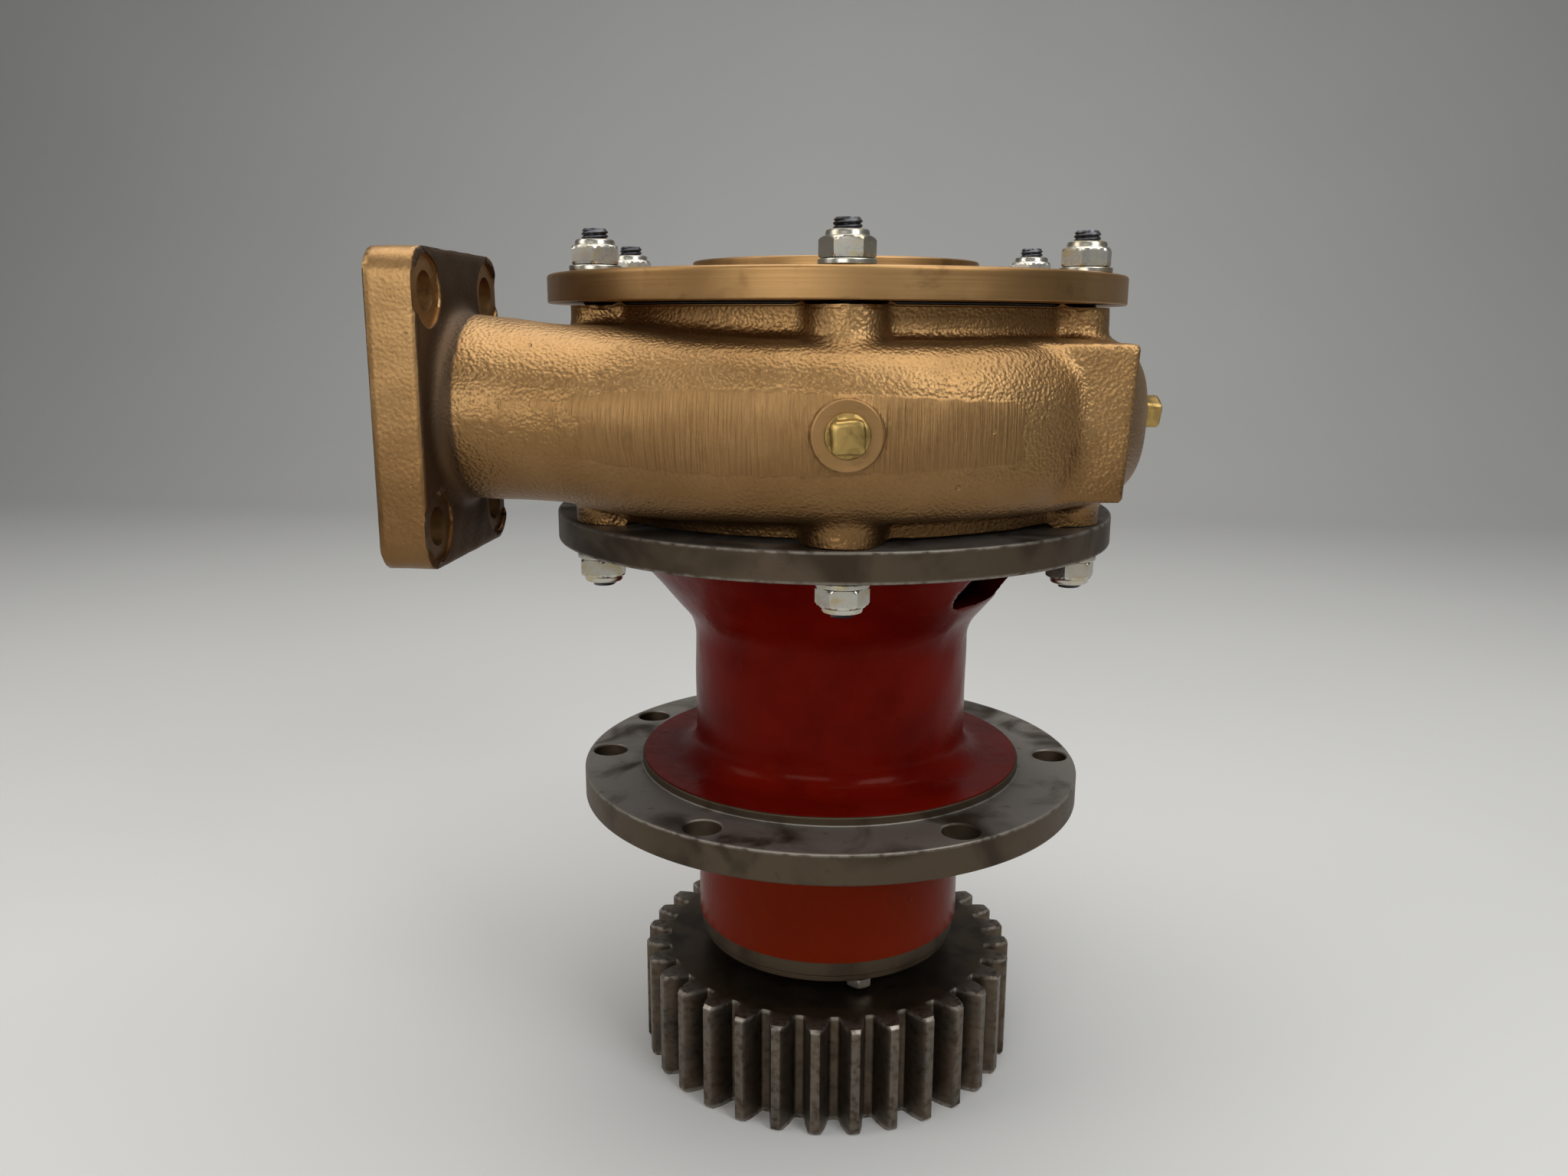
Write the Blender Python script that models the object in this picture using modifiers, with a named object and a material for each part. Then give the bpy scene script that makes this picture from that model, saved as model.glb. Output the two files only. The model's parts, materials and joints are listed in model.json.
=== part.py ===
"""Centrifugal water pump with a tangential outlet, a bearing housing and a spur drive gear.

The pump stands upright on its shaft axis, which is the Z axis. The lower face of the drive
gear, flush with the end of the shaft, lies at Z = 0, and the outlet points along -X. The
suction opening is at the top. Everything is in metres.
"""

import math

import bmesh
import bpy
from mathutils import Matrix, Vector

# Gap left between pieces that touch on the real pump.
GAP = 0.0003

# Sides of the round shapes: large ones, inner ones and small ones.
LARGE = 32
MIDDLE = 24
SMALL = 16
HOLE = 12

# Spur drive gear.
GEAR_MODULE = 0.005
GEAR_TEETH = 32
GEAR_PRESSURE_ANGLE = math.radians(20.0)
GEAR_WIDTH = 0.0483
GEAR_TOOTH_ANGLE = math.radians(258.7)
GEAR_BORE_RADIUS = 0.0178
GEAR_RECESS_RADIUS = 0.030
GEAR_RECESS_DEPTH = 0.018

# Bearing housing, from the bottom up.
HOUSING_FOOT_BOTTOM = 0.0577
HOUSING_FOOT_TOP = 0.0645
HOUSING_FOOT_RADIUS = 0.0585
LOWER_BARREL_RADIUS = 0.0598
BARREL_RADIUS = 0.0605
MOUNT_FLANGE_BOTTOM = 0.1248
MOUNT_FLANGE_TOP = 0.1377
MOUNT_FLANGE_RADIUS = 0.1107
MOUNT_STEP_RADIUS = 0.0850
MOUNT_STEP_TOP = 0.1418
FILLET = 0.0100
MOUNT_HOLE_CIRCLE = 0.1008
MOUNT_HOLE_RADIUS = 0.0075
MOUNT_HOLE_PHASE = math.radians(3.5)
EXTRA_HOLE_ANGLE = math.radians(153.5)
CONE_BOTTOM = 0.2030
CONE_TOP_RADIUS = 0.0930
TOP_FLANGE_BOTTOM = 0.2414
TOP_FLANGE_TOP = 0.2535
TOP_FLANGE_RADIUS = 0.1187
WINDOW_ANGLE = math.radians(-27.0)
WINDOW_WIDTH = 0.060
WINDOW_HEIGHT = 0.021
WINDOW_CENTRE_Z = 0.2290

# Bolts of the plate that holds the lower bearing.
RETAINER_BOLT_CIRCLE = 0.0520
RETAINER_BOLTS = 3
RETAINER_BOLT_ANGLE = math.radians(-71.5)

# Bearings: both the same size.
BEARING_BORE = 0.0203
BEARING_OUTER = 0.0450
BEARING_WIDTH = 0.0230
BEARING_PITCH = 0.0325
BALL_RADIUS = 0.0066
GROOVE_RADIUS = 0.0078
BALL_COUNT = 8
LOWER_BEARING_Z = 0.0600
UPPER_BEARING_Z = 0.1650

# Studs and nuts that hold the casing between the cover and the housing.
STUD_COUNT = 6
STUD_CIRCLE = 0.1075
STUD_PHASE = math.radians(-85.2)
STUD_RADIUS = 0.0050
NUT_ACROSS_FLATS = 0.017
NUT_HEX_HEIGHT = 0.0073
NUT_HEIGHT = 0.0096
WASHER_RADIUS = 0.0100
WASHER_THICKNESS = 0.0020

# Volute casing.
VOLUTE_RADIUS = 0.1300
VOLUTE_BOTTOM = 0.2623
VOLUTE_TOP = 0.3263
NECK_RADIUS = 0.1040
NECK_TOP = 0.3368
NECK_BOTTOM = 0.2556
BOSS_RADIUS = 0.0140
BOSS_CIRCLE = 0.1030
PASSAGE_RADIUS = 0.1225
PASSAGE_BOTTOM = 0.2705
PASSAGE_TOP = 0.3185

# Outlet branch and its rectangular flange.
OUTLET_Y = -0.0860
OUTLET_Z = 0.3000
OUTLET_RADIUS = 0.0330
OUTLET_BORE = 0.0255
OUTLET_BACK_X = -0.1330
OUTLET_FACE_X = -0.1510
OUTLET_WIDTH = 0.0870
OUTLET_HEIGHT = 0.1105
OUTLET_CORNER = 0.0100
OUTLET_HOLES_Y = 0.0626
OUTLET_HOLES_Z = 0.0808
OUTLET_HOLE_RADIUS = 0.0070
SPOT_FACE_RADIUS = 0.0125
SPOT_FACE_DEPTH = 0.0012

# Blank pad cast opposite the outlet, and the two plug bosses.
PAD_FRONT_Y = -0.0905
PAD_BACK_Y = -0.0400
PAD_END_X = 0.1090
PAD_BOTTOM = 0.2690
PAD_TOP = 0.3238
PLUG_Z = 0.2943
PLUG_ANGLES = (math.radians(-85.3), math.radians(4.7))
PLUG_BOSS_RADIUS = 0.0124
PLUG_THREAD_RADIUS = 0.0067
PLUG_COLLAR_RADIUS = 0.0077
PLUG_SQUARE = 0.0116

# Inlet cover.
COVER_RADIUS = 0.1200
COVER_BOTTOM = 0.3380
COVER_TOP = 0.3493
SUCTION_FACE_RADIUS = 0.0600
SUCTION_FACE_Z = 0.3555
SUCTION_BORE = 0.0330

# Shaft and seal sizes.
SHAFT_JOURNAL = 0.0200
SEAL_SEAT_Z = 0.2423
SEAL_HEAD_Z = 0.2486
IMPELLER_HUB_Z = 0.2663
IMPELLER_RADIUS = 0.0780

# Insides of the bearing housing and its flanges.
LOWER_SEAT_TOP = 0.0850
UPPER_SEAT_BOTTOM = 0.1610
UPPER_SEAT_TOP = 0.1885
SEAT_LEAD = 0.0030
MIDDLE_BORE = 0.0480
OIL_SEAL_BORE = 0.0310
OIL_SEAL_WALL_TOP = 0.2010
HALL_LOW_RADIUS = 0.0500
HALL_LOW_Z = 0.2040
HALL_HIGH_RADIUS = 0.0820
HALL_HIGH_Z = 0.2390
TOP_FLANGE_BORE = 0.0780
CARRIER_LEDGE_Z = 0.2450
RETAINER_THREAD_RADIUS = 0.0033
RETAINER_THREAD_DEPTH = 0.0125
STUD_HOLE_RADIUS = 0.0055

# Bearing retainer and its bolts.
RETAINER_BOTTOM = 0.0549
RETAINER_RADIUS = 0.0575
RETAINER_BORE = 0.0280
RETAINER_RIM_OUTER = 0.0447
RETAINER_RIM_INNER = 0.0390
RETAINER_HOLE_RADIUS = 0.0034
PULLER_HOLE_RADIUS = 0.0042
RETAINER_BOLT_FLATS = 0.0100
RETAINER_BOLT_HEAD_Z = 0.0506
RETAINER_BOLT_RADIUS = 0.0030
RETAINER_BOLT_TOP = 0.0690

# Inlet cover's spigot and hub, its gasket and its wear ring.
SPIGOT_RADIUS = 0.0917
SPIGOT_END = 0.3215
HUB_OUTER = 0.0560
HUB_RADIUS = 0.0520
HUB_END = 0.3140
WEAR_SEAT_RADIUS = 0.0453
WEAR_SEAT_TOP = 0.3283
SUCTION_LEAD = 0.0020
COVER_EDGE = 0.0013
GASKET_INNER = 0.0925
GASKET_OUTER = 0.1035
GASKET_HOLE_RADIUS = 0.0058
WEAR_RING_INNER = 0.0405
WEAR_RING_OUTER = 0.0450
WEAR_RING_BOTTOM = 0.3150
WEAR_RING_TOP = 0.3280

# Openings of the casing above and below.
COVER_OPENING_RADIUS = 0.0920
COVER_OPENING_BOTTOM = 0.3100
BACK_OPENING_RADIUS = 0.0853
BACK_OPENING_TOP = 0.2760
BACK_LEDGE_Z = 0.2579
COVER_STUD_HOLE_Z = 0.3228
BASE_STUD_HOLE_Z = 0.2668
BOSS_LENGTH = 0.0200
COVER_STUD_ENDS = (0.3240, 0.3650)
BASE_STUD_ENDS = (0.2280, 0.2655)

# Seal carrier and shaft seal.
CARRIER_TOP = 0.2660
CARRIER_RADIUS = 0.0850
CARRIER_FLANGE_RADIUS = 0.0917
CARRIER_FLANGE_TOP = 0.2576
CARRIER_FLANGE_BOTTOM = 0.2538
CARRIER_SPIGOT_RADIUS = 0.0777
CARRIER_WEB_Z = 0.2495
CARRIER_WEB_RADIUS = 0.0600
CARRIER_CUP_RADIUS = 0.0420
CARRIER_CUP_TOP = 0.2470
CARRIER_CUP_BOTTOM = 0.2380
CARRIER_BORE = 0.0205
SEAT_POCKET_Z = 0.2420
SEAT_POCKET_RADIUS = 0.0310
SEAL_SEAT_INNER = 0.0225
SEAL_SEAT_OUTER = 0.0307
SEAL_SEAT_HEIGHT = 0.0060
SEAL_HEAD_OUTER = 0.0270
SEAL_HEAD_HEIGHT = 0.0055
SPRING_RADIUS = 0.0230
SPRING_WIRE = 0.0010
SPRING_TURNS = 3

# Shaft steps above and below the bearings.
SHAFT_THREAD_RADIUS = 0.0117
SHAFT_GEAR_RADIUS = 0.0175
SHAFT_MIDDLE_RADIUS = 0.0235
SHAFT_OIL_SEAL_RADIUS = 0.0195
SHAFT_WET_RADIUS = 0.0180
SHAFT_IMPELLER_RADIUS = 0.0140
SHAFT_TOP_THREAD_RADIUS = 0.0095
SHAFT_TOP = 0.3155
IMPELLER_SEAT_TOP = 0.3000

# Nuts, washers, spacer and slinger on the shaft.
SPACER_RADIUS = 0.0265
SLINGER_RADIUS = 0.0330
SLINGER_BODY_RADIUS = 0.0230
SLINGER_BOTTOM = 0.2125
SLINGER_TOP = 0.2250
GEAR_WASHER_RADIUS = 0.0235
GEAR_WASHER_THICKNESS = 0.0030
GEAR_NUT_FLATS = 0.0360
GEAR_NUT_HEIGHT = 0.0120
DOME_NUT_RADIUS = 0.0140
DOME_NUT_BOTTOM = 0.3023
DOME_NUT_TOP = 0.3210
IMPELLER_VANES = 6

ASSEMBLY = bpy.data.collections.new("centrifugal_water_pump")
CUTTERS = bpy.data.collections.new("cutters")


def clear_scene():
    """Remove every object, then link the two collections of the model."""
    for thing in list(bpy.data.objects):
        bpy.data.objects.remove(thing, do_unlink=True)
    bpy.context.scene.collection.children.link(ASSEMBLY)
    bpy.context.scene.collection.children.link(CUTTERS)


def make_material(name, colour, roughness, metallic):
    """Return a Principled material."""
    made = bpy.data.materials.new(name)
    made.use_nodes = True
    shader = made.node_tree.nodes["Principled BSDF"]
    shader.inputs["Base Color"].default_value = (*colour, 1.0)
    shader.inputs["Roughness"].default_value = roughness
    shader.inputs["Metallic"].default_value = metallic
    return made


def bronze(name):
    """Cast bronze, satin golden brown."""
    return make_material(name, (0.42, 0.25, 0.12), 0.42, 1.0)


def dark_iron(name):
    """Machined grey iron."""
    return make_material(name, (0.12, 0.11, 0.10), 0.45, 0.8)


def bright_steel(name):
    """Ground or turned steel."""
    return make_material(name, (0.45, 0.45, 0.44), 0.30, 1.0)


def brass(name):
    """Bar brass, slightly dull."""
    return make_material(name, (0.45, 0.34, 0.12), 0.38, 1.0)


def rubber(name):
    """Black seal rubber."""
    return make_material(name, (0.02, 0.02, 0.02), 0.6, 0.0)


def add_object(name, mesh, collection=None, material=None):
    """Link a mesh as an object, in the cutters collection unless told otherwise."""
    thing = bpy.data.objects.new(name, mesh)
    home = collection or CUTTERS
    home.objects.link(thing)
    if home is not ASSEMBLY:
        thing.hide_render = True
        thing.display_type = "WIRE"
    if material is not None:
        mesh.materials.clear()
        mesh.materials.append(material)
    return thing


def mesh_from_bmesh(name, shape):
    """Turn a bmesh into mesh data."""
    mesh = bpy.data.meshes.new(name)
    bmesh.ops.recalc_face_normals(shape, faces=shape.faces[:])
    shape.to_mesh(mesh)
    shape.free()
    return mesh


def evaluated_mesh(name, thing):
    """Bake an object's modifiers into new mesh data and remove the object."""
    graph = bpy.context.evaluated_depsgraph_get()
    mesh = bpy.data.meshes.new_from_object(thing.evaluated_get(graph))
    mesh.name = name
    mesh.transform(thing.matrix_world)
    shape = bmesh.new()
    shape.from_mesh(mesh)
    bmesh.ops.remove_doubles(shape, verts=shape.verts[:], dist=0.000001)
    shape.to_mesh(mesh)
    shape.free()
    bpy.data.objects.remove(thing, do_unlink=True)
    return mesh


def turned(name, profile, steps=32, closed=True, collection=None, material=None):
    """Spin a profile of (radius, height) points, outer side first and downward."""
    count = len(profile)
    edges = [(i, i + 1) for i in range(count - 1)]
    if closed:
        edges.append((count - 1, 0))
    mesh = bpy.data.meshes.new(name)
    mesh.from_pydata([(r, 0.0, z) for r, z in profile], edges, [])
    thing = add_object(name, mesh, collection, material)
    screw = thing.modifiers.new("turn", "SCREW")
    screw.steps = steps
    screw.render_steps = steps
    screw.use_merge_vertices = True
    screw.merge_threshold = 0.00001
    return thing


def ring(name, inner, outer, low, high, steps=32, chamfer=0.0, **more):
    """Turn a plain ring, with its outer corners chamfered."""
    profile = [(outer - chamfer, high), (outer, high - chamfer)]
    profile += [(outer, low + chamfer), (outer - chamfer, low)]
    if chamfer == 0.0:
        profile = [(outer, high), (outer, low)]
    profile += [(inner, low), (inner, high)]
    return turned(name, profile, steps, **more)


def rod_mesh(name, radius, start, end, segments=24):
    """Return a cylinder mesh between two points."""
    start = Vector(start)
    end = Vector(end)
    along = end - start
    turn = along.to_track_quat("Z", "Y").to_matrix().to_4x4()
    place = Matrix.Translation((start + end) / 2.0) @ turn
    shape = bmesh.new()
    bmesh.ops.create_cone(
        shape, cap_ends=True, segments=segments, radius1=radius, radius2=radius,
        depth=along.length, matrix=place)
    return mesh_from_bmesh(name, shape)


def rod(name, radius, start, end, segments=24, collection=None):
    """Link a cylinder between two points."""
    return add_object(name, rod_mesh(name, radius, start, end, segments), collection)


def box(name, low, high, collection=None, material=None):
    """Link a box between two corners."""
    low = Vector(low)
    high = Vector(high)
    shape = bmesh.new()
    size = high - low
    place = Matrix.Translation((low + high) / 2.0) @ Matrix.Diagonal((*size, 1.0))
    bmesh.ops.create_cube(shape, size=1.0, matrix=place)
    return add_object(name, mesh_from_bmesh(name, shape), collection, material)


def combine(target, operands, operation):
    """Add a Boolean modifier that joins or cuts with a set of operands."""
    group = bpy.data.collections.new(target.name + "_" + operation.lower())
    CUTTERS.children.link(group)
    for operand in operands:
        CUTTERS.objects.unlink(operand)
        group.objects.link(operand)
    change = target.modifiers.new(operation.lower(), "BOOLEAN")
    change.operation = operation
    change.operand_type = "COLLECTION"
    change.collection = group
    change.solver = "EXACT"
    return change


def polar(radius, angle, height=0.0):
    """Point at a radius and angle about the shaft axis."""
    return Vector((radius * math.cos(angle), radius * math.sin(angle), height))


def arc(centre, radius, start, end, count):
    """Points of an arc, angles in degrees, ends included."""
    points = []
    for i in range(count):
        angle = math.radians(start + (end - start) * i / (count - 1))
        points.append((centre[0] + radius * math.cos(angle), centre[1] + radius * math.sin(angle)))
    return points


def flat_plate(name, outline, thickness):
    """Fill a flat outline, give it thickness about Z = 0 and return it as a mesh."""
    curve = bpy.data.curves.new(name, "CURVE")
    curve.dimensions = "2D"
    curve.fill_mode = "BOTH"
    curve.extrude = thickness / 2.0
    line = curve.splines.new("POLY")
    line.points.add(len(outline) - 1)
    for point, (x, y) in zip(line.points, outline):
        point.co = (x, y, 0.0, 1.0)
    line.use_cyclic_u = True
    thing = bpy.data.objects.new(name, curve)
    CUTTERS.objects.link(thing)
    bpy.context.view_layer.update()
    return evaluated_mesh(name, thing)


def loft(name, sections, collection=None):
    """Skin a row of closed sections, each a list of as many points, and cap both ends."""
    shape = bmesh.new()
    rows = [[shape.verts.new(point) for point in section] for section in sections]
    count = len(rows[0])
    for lower, upper in zip(rows, rows[1:]):
        for i in range(count):
            j = (i + 1) % count
            shape.faces.new((lower[i], lower[j], upper[j], upper[i]))
    shape.faces.new(list(reversed(rows[0])))
    shape.faces.new(rows[-1])
    return add_object(name, mesh_from_bmesh(name, shape), collection)


def oval(centre, half_y, half_z, segments=20):
    """Oval section in a plane of constant X."""
    points = []
    for i in range(segments):
        angle = 2.0 * math.pi * i / segments
        offset = Vector((0.0, half_y * math.cos(angle), half_z * math.sin(angle)))
        points.append(Vector(centre) + offset)
    return points


# ---------------------------------------------------------------------------
# Casing side
# ---------------------------------------------------------------------------


def volute_outline():
    """Half section of the casing's outside, outer side first and downward."""
    middle = (VOLUTE_TOP + VOLUTE_BOTTOM) / 2.0
    half = (VOLUTE_TOP - VOLUTE_BOTTOM) / 2.0
    crown = 0.022
    rim = []
    for i in range(9):
        angle = math.radians(90.0 - 22.5 * i)
        bulge = math.copysign(abs(math.cos(angle)) ** 0.8, math.cos(angle))
        rim.append((VOLUTE_RADIUS - crown + crown * bulge, middle + half * math.sin(angle)))
    profile = [(0.0, NECK_TOP), (NECK_RADIUS, NECK_TOP), (NECK_RADIUS, VOLUTE_TOP)]
    profile += rim
    profile += [(NECK_RADIUS, VOLUTE_BOTTOM), (NECK_RADIUS, NECK_BOTTOM), (0.0, NECK_BOTTOM)]
    return profile


def outlet_branch(shrink, start, end):
    """Loft of the outlet branch; shrink takes the wall off for the bore."""
    stations = (
        (start, OUTLET_Z, 0.0000, OUTLET_RADIUS + 0.0006),
        (-0.1180, OUTLET_Z - 0.0003, 0.0000, OUTLET_RADIUS - 0.0010),
        (-0.0900, 0.2976, 0.0016, OUTLET_RADIUS - 0.0010),
        (-0.0600, 0.2958, 0.0042, OUTLET_RADIUS - 0.0012),
        (end, 0.2945, 0.0090, OUTLET_RADIUS - 0.0013),
    )
    sections = []
    for x, z, swell, radius in stations:
        half = radius - shrink
        centre = (x, OUTLET_Y - swell / 2.0, z)
        sections.append(oval(centre, half + swell / 2.0, half))
    return sections


def outlet_flange():
    """Rectangular flange plate with rounded corners, as a cutter-side object."""
    half_w = OUTLET_WIDTH / 2.0 - OUTLET_CORNER
    half_h = OUTLET_HEIGHT / 2.0 - OUTLET_CORNER
    outline = arc((half_w, half_h), OUTLET_CORNER, 0.0, 90.0, 5)
    outline += arc((-half_w, half_h), OUTLET_CORNER, 90.0, 180.0, 5)
    outline += arc((-half_w, -half_h), OUTLET_CORNER, 180.0, 270.0, 5)
    outline += arc((half_w, -half_h), OUTLET_CORNER, 270.0, 360.0, 5)
    mesh = flat_plate("outlet_flange_plate", outline, OUTLET_BACK_X - OUTLET_FACE_X)
    upright = Matrix.Rotation(math.radians(90.0), 4, "Z") @ Matrix.Rotation(math.radians(90.0), 4, "X")
    middle = (OUTLET_BACK_X + OUTLET_FACE_X) / 2.0
    mesh.transform(Matrix.Translation((middle, OUTLET_Y, OUTLET_Z)) @ upright)
    return add_object("outlet_flange_plate", mesh)


def stud_angles():
    """Angles of the six studs about the shaft."""
    return [STUD_PHASE + math.radians(60.0) * i for i in range(STUD_COUNT)]


def make_volute_casing():
    """Bronze casing: circular volute, outlet branch, stud bosses, pad and plug bosses."""
    casing = turned(
        "volute_casing", volute_outline(), LARGE, closed=False,
        collection=ASSEMBLY, material=bronze("casing_bronze"))
    added = [loft("outlet_outside", outlet_branch(0.0, OUTLET_BACK_X - 0.004, -0.0080))]
    added.append(outlet_flange())
    for angle in stud_angles():
        top = polar(BOSS_CIRCLE, angle, NECK_TOP - 0.0001)
        added.append(rod("boss_top", BOSS_RADIUS, top, top - Vector((0, 0, BOSS_LENGTH)), HOLE))
        foot = polar(BOSS_CIRCLE, angle, TOP_FLANGE_TOP + GAP)
        added.append(rod("boss_foot", BOSS_RADIUS, foot, foot + Vector((0, 0, BOSS_LENGTH)), HOLE))
    for angle in PLUG_ANGLES:
        inner = polar(VOLUTE_RADIUS - 0.015, angle, PLUG_Z)
        outer = polar(VOLUTE_RADIUS + 0.0012, angle, PLUG_Z)
        added.append(rod("plug_boss", PLUG_BOSS_RADIUS, inner, outer, SMALL))
    pad_low = (0.0600, PAD_FRONT_Y, PAD_BOTTOM)
    added.append(box("pad", pad_low, (PAD_END_X, PAD_BACK_Y, PAD_TOP)))
    combine(casing, added, "UNION")

    middle = (PASSAGE_TOP + PASSAGE_BOTTOM) / 2.0
    half = (PASSAGE_TOP - PASSAGE_BOTTOM) / 2.0
    rim = []
    for i in range(7):
        angle = math.radians(90.0 - 30.0 * i)
        rim.append((PASSAGE_RADIUS - 0.018 + 0.018 * math.cos(angle), middle + half * math.sin(angle)))
    cuts = [turned("passage", [(0.0, PASSAGE_TOP)] + rim + [(0.0, PASSAGE_BOTTOM)], MIDDLE, closed=False)]
    cuts.append(loft("outlet_bore", outlet_branch(OUTLET_RADIUS - OUTLET_BORE, -0.1600, -0.0080)))
    floor = (0, 0, COVER_OPENING_BOTTOM)
    cuts.append(rod("cover_opening", COVER_OPENING_RADIUS, floor, (0, 0, 0.3450), LARGE))
    below = NECK_BOTTOM - 0.0076
    back_opening = [(0.0, BACK_OPENING_TOP), (BACK_OPENING_RADIUS, BACK_OPENING_TOP)]
    back_opening += [(BACK_OPENING_RADIUS, BACK_LEDGE_Z), (COVER_OPENING_RADIUS, BACK_LEDGE_Z)]
    back_opening += [(COVER_OPENING_RADIUS, below), (0.0, below)]
    cuts.append(turned("back_opening", back_opening, LARGE, closed=False))
    for angle in stud_angles():
        up = polar(STUD_CIRCLE, angle, 0.3400)
        end = polar(STUD_CIRCLE, angle, COVER_STUD_HOLE_Z)
        cuts.append(rod("stud_hole", STUD_RADIUS + GAP, up, end, HOLE))
        down = polar(STUD_CIRCLE, angle, 0.2500)
        end = polar(STUD_CIRCLE, angle, BASE_STUD_HOLE_Z)
        cuts.append(rod("stud_hole", STUD_RADIUS + GAP, down, end, HOLE))
    for angle in PLUG_ANGLES:
        outer = polar(VOLUTE_RADIUS + 0.010, angle, PLUG_Z)
        cuts.append(rod("plug_hole", PLUG_THREAD_RADIUS + GAP, polar(0.110, angle, PLUG_Z), outer, 16))
    for side_y in (-0.5, 0.5):
        for side_z in (-0.5, 0.5):
            y = OUTLET_Y + side_y * OUTLET_HOLES_Y
            z = OUTLET_Z + side_z * OUTLET_HOLES_Z
            near = OUTLET_BACK_X + 0.006
            cuts.append(rod("bolt_hole", OUTLET_HOLE_RADIUS, (-0.160, y, z), (near, y, z), HOLE))
            seat = OUTLET_BACK_X - SPOT_FACE_DEPTH
            cuts.append(rod("spot_face", SPOT_FACE_RADIUS, (seat, y, z), (near, y, z), HOLE))
    combine(casing, cuts, "DIFFERENCE")


def make_inlet_cover():
    """Turned bronze cover with the suction opening, a spigot and six stud holes."""
    profile = [
        (SUCTION_FACE_RADIUS, SUCTION_FACE_Z), (SUCTION_FACE_RADIUS, COVER_TOP),
        (COVER_RADIUS - COVER_EDGE, COVER_TOP), (COVER_RADIUS, COVER_TOP - COVER_EDGE),
        (COVER_RADIUS, COVER_BOTTOM + 0.0010), (COVER_RADIUS - 0.0010, COVER_BOTTOM),
        (SPIGOT_RADIUS, COVER_BOTTOM), (SPIGOT_RADIUS, SPIGOT_END), (HUB_OUTER, SPIGOT_END),
        (HUB_RADIUS, HUB_END), (WEAR_SEAT_RADIUS, HUB_END), (WEAR_SEAT_RADIUS, WEAR_SEAT_TOP),
        (SUCTION_BORE + SUCTION_LEAD, WEAR_SEAT_TOP), (SUCTION_BORE, WEAR_SEAT_TOP + SUCTION_LEAD),
        (SUCTION_BORE, SUCTION_FACE_Z)]
    cover = turned("inlet_cover", profile, LARGE, collection=ASSEMBLY, material=bronze("cover_bronze"))
    cuts = []
    for angle in stud_angles():
        low = polar(STUD_CIRCLE, angle, COVER_BOTTOM - 0.01)
        high = polar(STUD_CIRCLE, angle, COVER_TOP + 0.01)
        cuts.append(rod("cover_hole", STUD_HOLE_RADIUS, low, high, HOLE))
    combine(cover, cuts, "DIFFERENCE")


def make_cover_gasket():
    """Thin gasket between the casing neck and the cover."""
    gasket = ring(
        "cover_gasket", GASKET_INNER, GASKET_OUTER, NECK_TOP + GAP, COVER_BOTTOM - GAP, LARGE,
        collection=ASSEMBLY, material=rubber("gasket_sheet"))
    cuts = []
    for angle in stud_angles():
        low = polar(STUD_CIRCLE, angle, NECK_TOP - 0.01)
        high = polar(STUD_CIRCLE, angle, COVER_BOTTOM + 0.01)
        cuts.append(rod("gasket_hole", GASKET_HOLE_RADIUS, low, high, HOLE))
    combine(gasket, cuts, "DIFFERENCE")


def make_wear_ring():
    """Renewable ring in the cover around the impeller neck."""
    ring(
        "cover_wear_ring", WEAR_RING_INNER, WEAR_RING_OUTER, WEAR_RING_BOTTOM, WEAR_RING_TOP, MIDDLE,
        collection=ASSEMBLY, material=brass("wear_ring_brass"))


def nut_mesh():
    """Hexagon locknut with its round collar, standing on a plain washer, Z up from 0."""
    hexagon = bmesh.new()
    corner = NUT_ACROSS_FLATS / math.sqrt(3.0)
    place = Matrix.Translation((0, 0, WASHER_THICKNESS - 0.0002 + NUT_HEX_HEIGHT / 2.0))
    bmesh.ops.create_cone(
        hexagon, cap_ends=True, segments=6, radius1=corner, radius2=corner,
        depth=NUT_HEX_HEIGHT, matrix=place)
    nut = add_object("nut_body", mesh_from_bmesh("nut_body", hexagon))
    lid = WASHER_THICKNESS + NUT_HEIGHT
    collar = [(0.0, lid), (0.0062, lid), (0.0074, lid - 0.0012), (0.0074, lid - 0.0045)]
    collar += [(0.0, lid - 0.0045)]
    added = [turned("nut_collar", collar, HOLE, closed=False)]
    added.append(rod("nut_washer", WASHER_RADIUS, (0, 0, 0), (0, 0, WASHER_THICKNESS), HOLE))
    combine(nut, added, "UNION")
    bore = rod("nut_bore", STUD_RADIUS + GAP, (0, 0, -0.01), (0, 0, 0.03), 12)
    combine(nut, [bore], "DIFFERENCE")
    bpy.context.view_layer.update()
    mesh = evaluated_mesh("locknut", nut)
    mesh.materials.clear()
    mesh.materials.append(make_material("zinc_plate", (0.55, 0.53, 0.46), 0.32, 1.0))
    return mesh


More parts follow.
